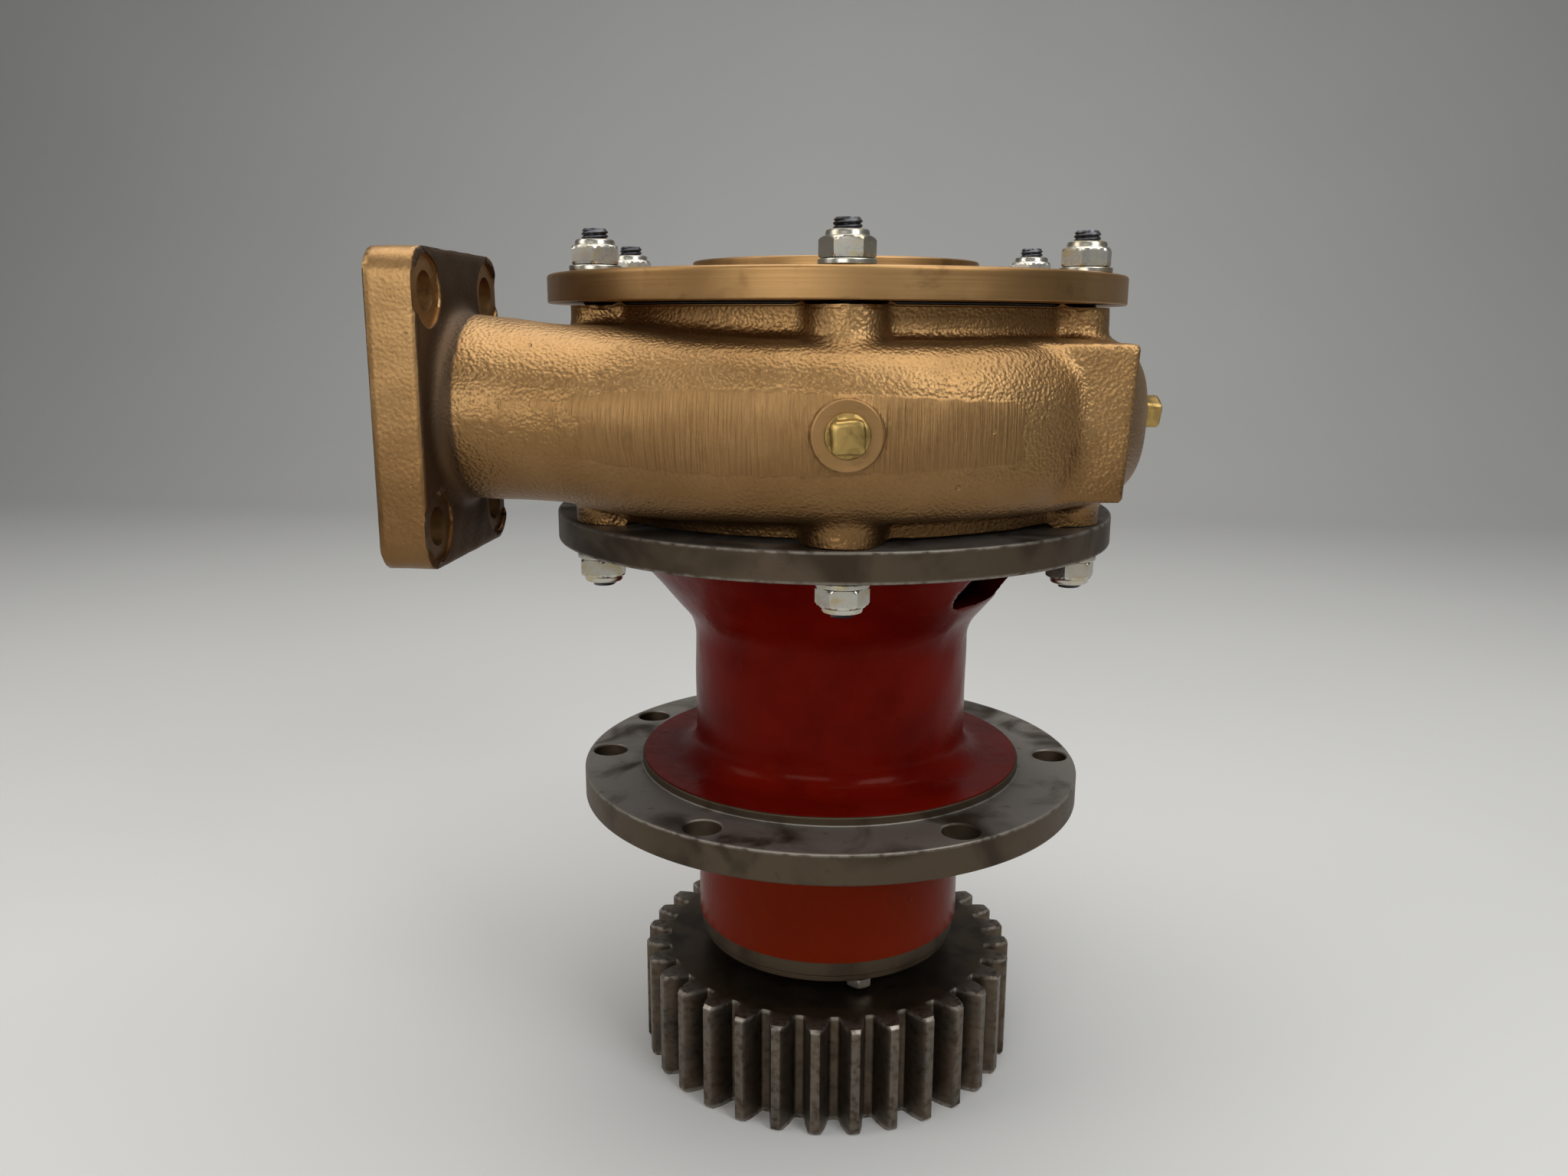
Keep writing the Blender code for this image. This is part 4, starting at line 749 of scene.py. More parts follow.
class Skin:
    """Mesh of a field's zero surface, found by dual contouring.

    Each lattice edge whose ends have unlike signs is crossed once; a few steps of false
    position find the crossing, and the field's slope there gives a tangent plane. A cell's
    point is the least-squares meeting of its crossings' planes, drawn lightly to their
    mean. Each crossed edge makes one face from the four cells round it.
    """

    STEPS = 4
    PROBE = 0.03
    PULL = 0.05
    SLACK = 0.15

    def __init__(self, field: Field, low: Point, high: Point, cell: float) -> None:
        """Skin the field inside a box.

        Args:
            field: Negative inside the solid.
            low: The box's lowest corner.
            high: Its highest corner.
            cell: The lattice's spacing.
        """
        self.field = field
        self.cell = cell
        self.low = np.array(low)
        self.shape = tuple(int(math.ceil((b - a) / cell)) + 1 for a, b in zip(low, high))
        index = np.stack(np.meshgrid(*(np.arange(n) for n in self.shape), indexing="ij"), axis=-1)
        values = field(self.low + index * cell)
        found = [self._crossings(values, axis) for axis in range(3)]
        self._place(found)

    def _crossings(self, values: Array, axis: int) -> tuple[Array, Array, Array]:
        """Crossing points, normals and the ring of four cells, for one direction of edges.

        Args:
            values: The field at the lattice's points.
            axis: The direction of the edges.

        Returns:
            Points, unit normals and rings of cell numbers, one row a crossing.
        """
        lower = np.take(values, range(self.shape[axis] - 1), axis=axis)
        upper = np.take(values, range(1, self.shape[axis]), axis=axis)
        crossed = np.argwhere((lower < 0.0) != (upper < 0.0))
        start_value = lower[tuple(crossed.T)]
        value_a, value_b = start_value.copy(), upper[tuple(crossed.T)]
        start = self.low + crossed * self.cell
        step = np.zeros(3)
        step[axis] = self.cell
        a, b = np.zeros(len(crossed)), np.ones(len(crossed))
        for _ in range(self.STEPS):
            t = a + (b - a) * value_a / (value_a - value_b)
            value = self.field(start + t[:, None] * step)
            same = (value < 0.0) == (start_value < 0.0)
            a, value_a = np.where(same, t, a), np.where(same, value, value_a)
            b, value_b = np.where(same, b, t), np.where(same, value_b, value)
        point = start + t[:, None] * step
        slope = np.empty_like(point)
        probe = self.cell * self.PROBE
        for k in range(3):
            offset = np.zeros(3)
            offset[k] = probe
            slope[:, k] = self.field(point + offset) - self.field(point - offset)
        slope /= np.maximum(np.linalg.norm(slope, axis=1, keepdims=True), 1e-12)
        one, two = (axis + 1) % 3, (axis + 2) % 3
        ring = []
        for back_one, back_two in ((0, 0), (1, 0), (1, 1), (0, 1)):
            where = crossed.copy()
            where[:, one] -= back_one
            where[:, two] -= back_two
            ring.append(np.ravel_multi_index(tuple(where.T), self.shape))
        cells = np.stack(ring, axis=1)
        cells[start_value > 0.0] = cells[start_value > 0.0][:, ::-1]
        return point, slope, cells

    def _place(self, found: list[tuple[Array, Array, Array]]) -> None:
        """Work out one point for each cell from its crossings, and number the faces.

        Args:
            found: The crossings of each of the three directions.
        """
        point = np.concatenate([part[0] for part in found])
        normal = np.concatenate([part[1] for part in found])
        ring = np.concatenate([part[2] for part in found])
        cell_ids, flat = np.unique(ring.ravel(), return_inverse=True)
        self.faces = flat.reshape(-1, 4)
        owner = np.repeat(np.arange(len(point)), 4)
        count = np.bincount(flat).astype(float)
        mean = np.stack([np.bincount(flat, point[owner, k]) for k in range(3)], axis=1) / count[:, None]
        away = point[owner] - mean[flat]
        facing = normal[owner]
        depth = np.einsum("ij,ij->i", away, facing)
        matrix = np.empty((len(count), 3, 3))
        for i in range(3):
            for j in range(3):
                matrix[:, i, j] = np.bincount(flat, facing[:, i] * facing[:, j])
        matrix += np.eye(3) * self.PULL
        right = np.stack([np.bincount(flat, facing[:, k] * depth) for k in range(3)], axis=1)
        shift = np.linalg.solve(matrix, right[:, :, None])[:, :, 0]
        corner = self.low + np.stack(np.unravel_index(cell_ids, self.shape), axis=1) * self.cell
        slack = self.SLACK * self.cell
        self.vertices = np.clip(mean + shift, corner - slack, corner + self.cell + slack)


def cylinder(points: Array, centre: Point, axis: int, radius: float, low: float, high: float) -> Array:
    """Distance to a cylinder along one of the three axes, between two places on that axis."""
    one, two = (axis + 1) % 3, (axis + 2) % 3
    out = np.hypot(points[..., one] - centre[one], points[..., two] - centre[two]) - radius
    along = np.maximum(low - points[..., axis], points[..., axis] - high)
    return np.maximum(out, along)


def rounded_pair(one: Array, two: Array, radius: float) -> Array:
    """Distance to a rounded corner, from the distances to its two sides set in by the radius."""
    outside = np.hypot(np.maximum(one, 0.0), np.maximum(two, 0.0))
    return outside + np.minimum(np.maximum(one, two), 0.0) - radius


def along_across(points: Array, angle: float) -> tuple[Array, Array]:
    """Places along a bearing about the shaft, and across it."""
    x, y = points[..., 0], points[..., 1]
    along = x * math.cos(angle) + y * math.sin(angle)
    across = y * math.cos(angle) - x * math.sin(angle)
    return along, across


def cell_size(cell: float) -> float:
    return cell * 1.0


def block(points: Array, centre: Point, half: Point, radius: float) -> Array:
    """Distance to a box with rounded edges."""
    off = np.abs(points - np.array(centre)) - (np.array(half) - radius)
    outside = np.linalg.norm(np.maximum(off, 0.0), axis=-1)
    return outside + np.minimum(off.max(axis=-1), 0.0) - radius


# ---------------------------------------------------------------------------
# Sub-assemblies
# ---------------------------------------------------------------------------

STUD_COUNT = 6
STUD_CIRCLE = 0.1075
STUD_PHASE = math.radians(-85.2)
STUD_ANGLES = tuple(STUD_PHASE + TAU / STUD_COUNT * i for i in range(STUD_COUNT))
STUD_HOLE = 0.0055
PLUG_CIRCLE = 0.1315
PLUG_HEIGHT = 0.2943
PLUG_ANGLES = {"front_plug": math.radians(-85.3), "side_plug": math.radians(4.7)}
PLUG_ROLLS = {"front_plug": math.radians(3.0), "side_plug": math.radians(24.0)}
SLOTS = {part["node"]: part["material_slot"] for part in frame["record"]["subparts"]}


class Assembly:
    """A group of pieces that are built, tied to a body and put in the place of CAD nodes."""

    def __init__(self, finishes: Finishes) -> None:
        """Keep the finishes."""
        self.finishes = finishes

    def put(self, piece: bpy.types.Object, body: str, *nodes: str) -> bpy.types.Object:
        """Tie a piece to a body and let it stand for CAD nodes.

        Args:
            piece: The finished piece.
            body: The body it moves with.
            nodes: The nodes it stands for.

        Returns:
            The piece.
        """
        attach(piece, body)
        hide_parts(*nodes)
        triangles = sum(len(face.vertices) - 2 for face in piece.data.polygons)
        LOG.info("%s: %d triangles", piece.name, triangles)
        return piece

    def build(self) -> None:
        """Build every piece of the group."""
        raise NotImplementedError


@dataclass
class Casing(Assembly):
    """The cast bronze volute with its necks, bosses, pad, outlet branch and flange."""

    finishes: Finishes
    cell: float = 0.00178
    radius: float = 0.1303
    crown: float = 0.0205
    middle: float = PLUG_HEIGHT
    drop: float = 0.0007
    half: float = 0.0312
    power: float = 2.5
    neck: float = 0.1040
    top: float = 0.3368
    bottom: float = 0.2556
    boss: float = 0.0140
    boss_circle: float = 0.1030
    boss_rows: tuple[float, float, float] = (0.3150, 0.2760, 0.2538)
    pad_centre: Point = (0.0857, -0.0652, 0.2958)
    pad_half: Point = (0.0257, 0.0256, 0.0280)
    pad_lean: float = 0.0034
    seat_radius: float = 0.0124
    seat_ends: tuple[float, float] = (0.1150, 0.1312)
    outlet: Point = (-0.1330, -0.0860, 0.3000)
    outlet_drop: float = 0.0072
    drop_start: float = -0.0350
    branch_end: float = -0.0080
    pipe: float = 0.0325
    pipe_swell: float = 0.0011
    pipe_bore: float = 0.0255
    face_x: float = -0.1510
    flange_half: tuple[float, float] = (0.0435, 0.05525)
    flange_corner: float = 0.0100
    flange_rim: float = 0.0016
    flange_hole: float = 0.0070
    spot_face: float = 0.0125
    hole_places: tuple[tuple[float, float], ...] = (
        (-0.0313, -0.0404), (-0.0313, 0.0404), (0.0313, -0.0404), (0.0313, 0.0404))
    passage: tuple[float, float, float] = (0.1045, 0.2945, 0.0180)
    passage_half: float = 0.0240
    cover_bore: tuple[float, float] = (0.0920, 0.3100)
    back_bore: tuple[float, float] = (0.0853, 0.2760)
    back_step: tuple[float, float] = (0.0920, 0.2579)

    def bulge(self, points: Array, radius: Array) -> Array:
        """Distance to the volute: a disc whose rim is half a superellipse of the given power."""
        power = self.power
        a = np.maximum(radius - (self.radius - self.crown), 0.0) / self.crown
        b = np.abs(points[..., 2] - self.middle + self.drop) / self.half
        level = np.maximum((a ** power + b ** power) ** (1.0 / power), 1e-3)
        slope = level ** (1.0 - power) * np.hypot(a ** (power - 1.0) / self.crown,
                                                  b ** (power - 1.0) / self.half)
        return (level - 1.0) / np.maximum(slope, 1.0 / self.half)

    def branch(self, points: Array, radius: Array | float) -> Array:
        """Distance to a round pipe on the outlet's axis, which rises slightly to the flange."""
        x = points[..., 0]
        share = np.clip((x - self.drop_start) / (self.outlet[0] - self.drop_start), 0.0, 1.0)
        centre = self.outlet[2] - self.outlet_drop * (1.0 - share)
        out = np.hypot(points[..., 1] - self.outlet[1], points[..., 2] - centre) - radius
        return np.maximum(out, x - self.branch_end)

    def bosses(self, points: Array, radius: Array) -> Array:
        """Distance to the stud bosses, by folding the circle into one sixth."""
        sector = TAU / STUD_COUNT
        angle = np.arctan2(points[..., 1], points[..., 0]) - STUD_PHASE
        off = np.mod(angle + sector / 2.0, sector) - sector / 2.0
        out = np.hypot(radius * np.cos(off) - self.boss_circle, radius * np.sin(off)) - self.boss
        z = points[..., 2]
        upper_low, lower_high, lower_low = self.boss_rows
        upper = np.maximum(out, np.maximum(z - self.top + 0.0001, upper_low - z))
        lower = np.maximum(out, np.maximum(lower_low - z, z - lower_high))
        return np.minimum(upper, lower)

    def pad(self, points: Array) -> Array:
        """Distance to the pad, whose end leans inward toward the bottom."""
        lean = np.clip((0.3238 - points[..., 2]) / 0.055, 0.0, 1.2) * self.pad_lean
        leant = points.copy()
        leant[..., 0] += lean
        return block(leant, self.pad_centre, self.pad_half, 0.0022)

    def flange(self, points: Array) -> Array:
        """Distance to the outlet flange: a plate with round corners and rough, soft rims."""
        y = np.abs(points[..., 1] - self.outlet[1]) - (self.flange_half[0] - self.flange_corner)
        z = np.abs(points[..., 2] - self.outlet[2]) - (self.flange_half[1] - self.flange_corner)
        side = rounded_pair(y, z, self.flange_corner)
        thick = self.outlet[0] - self.face_x
        x = np.abs(points[..., 0] - 0.5 * (self.face_x + self.outlet[0])) - 0.5 * thick
        return rounded_pair(side + self.flange_rim, x + self.flange_rim, self.flange_rim)

    def outer(self, points: Array) -> Array:
        """Outer skin: the volute, neck, bosses, pad, plug bosses and outlet, with fillets.

        Args:
            points: Places to measure from.

        Returns:
            Distance to the outer skin, below zero inside.
        """
        radius = np.hypot(points[..., 0], points[..., 1])
        z = points[..., 2]
        body = self.bulge(points, radius)
        neck = np.maximum(radius - self.neck, np.maximum(self.bottom - z, z - self.top))
        body = join(body, neck, 0.0045)
        body = join(body, self.bosses(points, radius), 0.0050)
        body = join(body, self.pad(points), 0.0035)
        for angle in PLUG_ANGLES.values():
            along, across = along_across(points, angle)
            out = np.hypot(across, z - self.middle) - self.seat_radius
            disc = np.maximum(out, np.maximum(along - self.seat_ends[1], self.seat_ends[0] - along))
            body = join(body, disc, 0.0014)
        swell = self.pipe + self.pipe_swell * ease((-points[..., 0] - 0.09) / 0.04)
        pipe = np.maximum(self.branch(points, swell), self.outlet[0] - 0.004 - points[..., 0])
        body = join(body, pipe, 0.0100)
        body = body + 0.00022 * ripple(points, 0.034, 1.3) * ease((0.3360 - z) / 0.004)
        return join(body, self.flange(points) + 0.00018 * ripple(points, 0.021, 4.0), 0.0060)

    def solid(self, points: Array) -> Array:
        """The outer skin less the water passage, openings, holes and spot faces.

        Args:
            points: Places to measure from.

        Returns:
            Distance to the casting's surface, below zero in the metal.
        """
        radius = np.hypot(points[..., 0], points[..., 1])
        z = points[..., 2]
        body = self.outer(points)
        reach, level, round_half = self.passage
        off = radius - reach
        passage = np.hypot(np.maximum(off, 0.0), z - level) - round_half
        passage = np.minimum(passage, np.maximum(off, np.abs(z - level) - self.passage_half))
        body = np.maximum(body, -passage)
        body = np.maximum(body, -self.branch(points, self.pipe_bore))
        body = np.maximum(body, -np.maximum(radius - self.cover_bore[0], self.cover_bore[1] - z))
        back = np.minimum(np.maximum(radius - self.back_bore[0], z - self.back_bore[1]),
                          np.maximum(radius - self.back_step[0], z - self.back_step[1]))
        body = np.maximum(body, -back)
        for side_y, side_z in self.hole_places:
            centre = (0.0, self.outlet[1] + side_y, self.outlet[2] + side_z)
            hole = cylinder(points, centre, 0, self.flange_hole, -0.1600, -0.1270)
            seat = cylinder(points, centre, 0, self.spot_face, self.outlet[0] - 0.0012, -0.1270)
            body = np.maximum(body, -np.minimum(hole, seat))
        return body

    def masks(self, points: Array) -> dict[str, Array]:
        """Where the skin is machined, ground or tarnished, 0 to 1 at each point.

        Args:
            points: The skin's points.

        Returns:
            Mask values by attribute name.
        """
        x, y, z = points.T
        radius = np.hypot(x, y)
        flat = 1.0 - ease(np.abs(x - self.face_x) / 0.0007)
        top = ease((z - self.top + 0.0012) / 0.0006) * (radius < 0.1195)
        seats = np.zeros(len(points))
        behind = np.abs(x - self.outlet[0] + 0.0006) < 0.0012
        for side_y, side_z in self.hole_places:
            off = np.hypot(y - self.outlet[1] - side_y, z - self.outlet[2] - side_z)
            seats = np.maximum(seats, (off < self.spot_face + 0.0001) * behind)
        angle = np.arctan2(y, x)
        band = 0.0120 + 0.0020 * np.sin(3.0 * angle + 0.6)
        ground = 1.0 - ease((np.abs(z - self.middle) - band + 0.003) / 0.006)
        ground *= ease((radius - 0.1235) / 0.004)
        ground *= 0.45 + 0.55 * ease((x + 0.0950) / 0.040)
        ground *= ease((x + 0.1290) / 0.006) * ease((0.0500 - y) / 0.060)
        ground *= 1.0 - 0.85 * ease((x - 0.064) / 0.010) * ease(-y / 0.03)
        flange_back = ease((x - self.outlet[0] + 0.0011) / 0.0008) * ease((-x - 0.1235) / 0.005)
        return {"machined": np.clip(flat + top + seats * 0.2, 0.0, 1.0),
                "ground": ground,
                "tarnish": flange_back * (1.0 - flat)}

    def build(self) -> None:
        """Skin the field and store the masks."""
        low, high = (-0.1545, -0.1380, 0.2405), (0.1360, 0.1380, 0.3590)
        skin = Skin(self.solid, low, high, cell_size(self.cell))
        lo, hi = np.array(CAD_BOX[0]), np.array(CAD_BOX[1])
        points = np.clip(skin.vertices, lo + 2e-5, hi - 2e-5)
        piece = finish_mesh("casing", points, skin.faces, self.finishes.cast_bronze, 52.0, False)
        for name, values in self.masks(points).items():
            add_mask(piece, name, values)
        self.put(piece, "pump_body", "volute_casing")


@dataclass
class Cover(Assembly):
    """Turned bronze inlet cover with its raised suction face, gasket and wear ring."""

    finishes: Finishes
    radius: float = 0.1200
    bottom: float = 0.3380
    top: float = 0.3493
    face: float = 0.3555
    face_radius: float = 0.0600
    bore: float = 0.0330

    def build(self) -> None:
        """Turn the cover, the gasket and the wear ring."""
        outline = rounded_outline([
            (self.bore, self.face, 0.0008), (self.face_radius, self.face, 0.0008),
            (self.face_radius, self.top, 0.0010), (self.radius, self.top, 0.0012),
            (self.radius, self.bottom, 0.0006), (0.0917, self.bottom, 0.0004),
            (0.0917, 0.3215, 0.0010), (0.0560, 0.3215, 0.0006), (0.0520, 0.3140, 0.0006),
            (0.0453, 0.3140, 0.0003), (0.0453, 0.3283, 0.0003), (self.bore + 0.002, 0.3283, 0.0003),
            (self.bore, 0.3303, 0.0006)])
        cover = turned("cover", outline, self.finishes.turned_bronze, 256)
        self.put(cover, "pump_body", "inlet_cover")
        gasket = turned("gasket", rounded_outline([
            (0.0925, 0.3377, 0.0001), (0.1035, 0.3377, 0.0002), (0.1035, 0.3371, 0.0002),
            (0.0925, 0.3371, 0.0001)], 2), self.finishes.rubber, 160)
        self.put(gasket, "pump_body", "cover_gasket")
        ring = turned("wear_ring", rounded_outline([
            (0.0405, 0.3280, 0.0005), (0.0450, 0.3280, 0.0003), (0.0450, 0.3150, 0.0003),
            (0.0405, 0.3150, 0.0008)]), self.finishes.brass, 128)
        self.put(ring, "pump_body", "cover_wear_ring")


@dataclass
class Fasteners(Assembly):
    """Studs with cut threads, nylon-collared hexagon nuts and washers, and pipe plugs."""

    finishes: Finishes
    stud: float = 0.0050
    pitch: float = 0.0015
    flats: float = 0.0170
    hex_height: float = 0.0073
    nut_height: float = 0.0096
    washer: float = 0.0100
    washer_height: float = 0.0020
    cover_seat: float = 0.3496
    base_seat: float = 0.2411

    def thread(self, name: str, low: float, high: float, place: Matrix) -> bpy.types.Object:
        """Threaded rod: the radius falls from the crest by a sharp wave of the angle and height.

        Args:
            name: The piece's name.
            low: Height of the lower end.
            high: Height of the upper end.
            place: Where the rod stands.

        Returns:
            The piece.
        """
        segments, per_turn = 28, 8
        count = int((high - low - 0.0016) / self.pitch * per_turn)
        body = np.linspace(low + 0.0008, high - 0.0008, count)
        height = np.concatenate([[low, low], body, [high, high]])
        end = self.stud - 0.0009
        cap = np.concatenate([[0.0, end], np.full(count, self.stud), [end, 0.0]])
        angle = np.arange(segments) * TAU / segments
        phase = np.mod(height[:, None] / self.pitch - angle / TAU, 1.0)
        wave = np.clip(1.35 * (1.0 - np.abs(2.0 * phase - 1.0)), 0.0, 1.0)
        radius = np.minimum(self.stud - 0.0008 * (1.0 - wave), cap[:, None])
        points = np.stack([radius * np.cos(angle), radius * np.sin(angle),
                           np.broadcast_to(height[:, None], radius.shape)], axis=-1)
        points = moved(points.reshape(-1, 3), place)
        return finish_mesh(name, points, grid_faces(len(height), segments, False),
                           self.finishes.thread, 70.0)

    def nut(self, name: str, place: Matrix) -> list[bpy.types.Object]:
        """One locknut and its washer, seated at the place's origin.

        The hexagon's radius is held under a turned chamfer; above it a round collar, which in the
        real nut holds the nylon ring, ends in a rolled lip; the ring itself is not made.

        Args:
            name: Start of the pieces' names.
            place: Where it sits.

        Returns:
            The nut and the washer.
        """
        corner = self.flats / math.sqrt(3.0)
        base = self.washer_height
        top = base + self.hex_height
        lid = base + self.nut_height
        rows = [(0.0053, base), (0.0080, base), (corner - 0.0006, base + 0.0003),
                (corner + 0.001, base + 0.0009), (corner + 0.001, base + 0.0014),
                (corner + 0.001, top - 0.0017), (corner + 0.0002, top - 0.0013),
                (corner - 0.0006, top - 0.0006), (self.flats / 2.0 - 0.0001, top - 0.0001)]
        rows += [(0.0079, top), (0.00765, top + 0.0002), (0.0075, top + 0.0006),
                 (0.0075, lid - 0.0010), (0.0072, lid - 0.0004), (0.0066, lid - 0.0001),
                 (0.0062, lid), (0.0059, lid - 0.0002), (0.0057, lid - 0.0006),
                 (0.0053, lid - 0.0007), (0.0053, lid - 0.0016)]
        body = shaped_bar(name, np.array(rows), flats(6, self.flats), 96, self.finishes.zinc,
                          place, 0.0, 30.0, True)
        upper = self.washer_height - 0.0001
        ring = turned(name + "_washer", rounded_outline([
            (0.0054, upper, 0.0002), (self.washer, upper, 0.0004),
            (self.washer, 0.0, 0.0003), (0.0054, 0.0, 0.0001)], 3), self.finishes.zinc, 64, place=place)
        return [body, ring]

    def seat_place(self, angle: float) -> Matrix:
        """Where a plug sits, its axis pointing out from the shaft."""
        turn = at_polar(1.0, angle).to_track_quat("Z", "Y").to_matrix().to_4x4()
        return Matrix.Translation(at_polar(PLUG_CIRCLE, angle, PLUG_HEIGHT)) @ turn

    def plug(self, name: str, angle: float, roll: float) -> None:
        """One square-headed pipe plug.

        Its section is a superellipse, |x|^n + |y|^n = r^n: round at the collar and, with a
        large n, square on the head.

        Args:
            name: The CAD node it stands for.
            angle: Its bearing about the shaft.
            roll: How far its head is turned.
        """
        rows = np.array([
            (0.0, -0.0080, 2.0), (0.0066, -0.0080, 2.0), (0.0067, 0.0, 2.0), (0.0074, 0.0001, 2.0),
            (0.0077, 0.0005, 2.0), (0.0077, 0.0017, 2.0), (0.0074, 0.0022, 2.0),
            (0.0061, 0.0025, 3.0), (0.0056, 0.0032, 7.0), (0.0056, 0.0074, 7.0),
            (0.0054, 0.0084, 6.0), (0.0048, 0.0089, 4.5), (0.0036, 0.0090, 3.5), (0.0, 0.0090, 2.0)])
        segments = 96
        around = np.arange(segments) * TAU / segments
        power = rows[:, 2:3]
        span = (np.abs(np.cos(around)) ** power + np.abs(np.sin(around)) ** power) ** (-1.0 / power)
        radius = rows[:, :1] * span
        dent = 0.00012 * np.sin(5.0 * around + 1.0) * (rows[:, 2:3] > 3.5)
        radius = radius + dent * (radius > 0.003)
        points = np.stack([radius * np.cos(around), radius * np.sin(around),
                           np.broadcast_to(rows[:, 1:2], radius.shape)], axis=-1)
        place = self.seat_place(angle) @ Matrix.Rotation(roll, 4, "Z")
        points = moved(points.reshape(-1, 3), place)
        piece = finish_mesh(name + "_fine", points, grid_faces(len(rows), segments, False),
                            self.finishes.brass, 42.0)
        self.put(piece, "pump_body", name)

    def build(self) -> None:
        """Build every stud, nut, washer and plug."""
        over = Matrix.Rotation(math.pi, 4, "X")
        for i, angle in enumerate(STUD_ANGLES):
            number = i + 1
            spot = Matrix.Translation(at_polar(STUD_CIRCLE, angle))
            upper = self.thread(f"cover_thread_{number}", 0.3240, 0.3650, spot)
            lower = self.thread(f"base_thread_{number}", 0.2280, 0.2655, spot)
            self.put(upper, "pump_body", f"cover_stud_{number}")
            self.put(lower, "pump_body", f"base_stud_{number}")
            turn = Matrix.Rotation(angle + math.radians(7.0 * i), 4, "Z")
            seats = (("cover", Matrix.Translation((0, 0, self.cover_seat)) @ turn),
                     ("base", Matrix.Translation((0, 0, self.base_seat)) @ turn @ over))
            for where, seat in seats:
                for piece in self.nut(f"{where}_locknut_{number}", spot @ seat):
                    self.put(piece, "pump_body", f"{where}_nut_{number}")
        for name, angle in PLUG_ANGLES.items():
            self.plug(name, angle, PLUG_ROLLS[name])
        outline = rounded_outline([
            (0.0070, 0.0004, 0.0002), (0.0121, 0.0004, 0.0005), (0.0121, -0.0100, 0.0),
            (0.0070, -0.0100, 0.0)])
        for name, angle in PLUG_ANGLES.items():
            seat = turned(name + "_seat", outline, self.finishes.turned_bronze, 96, True,
                          self.seat_place(angle))
            self.put(seat, "pump_body", "volute_casing")


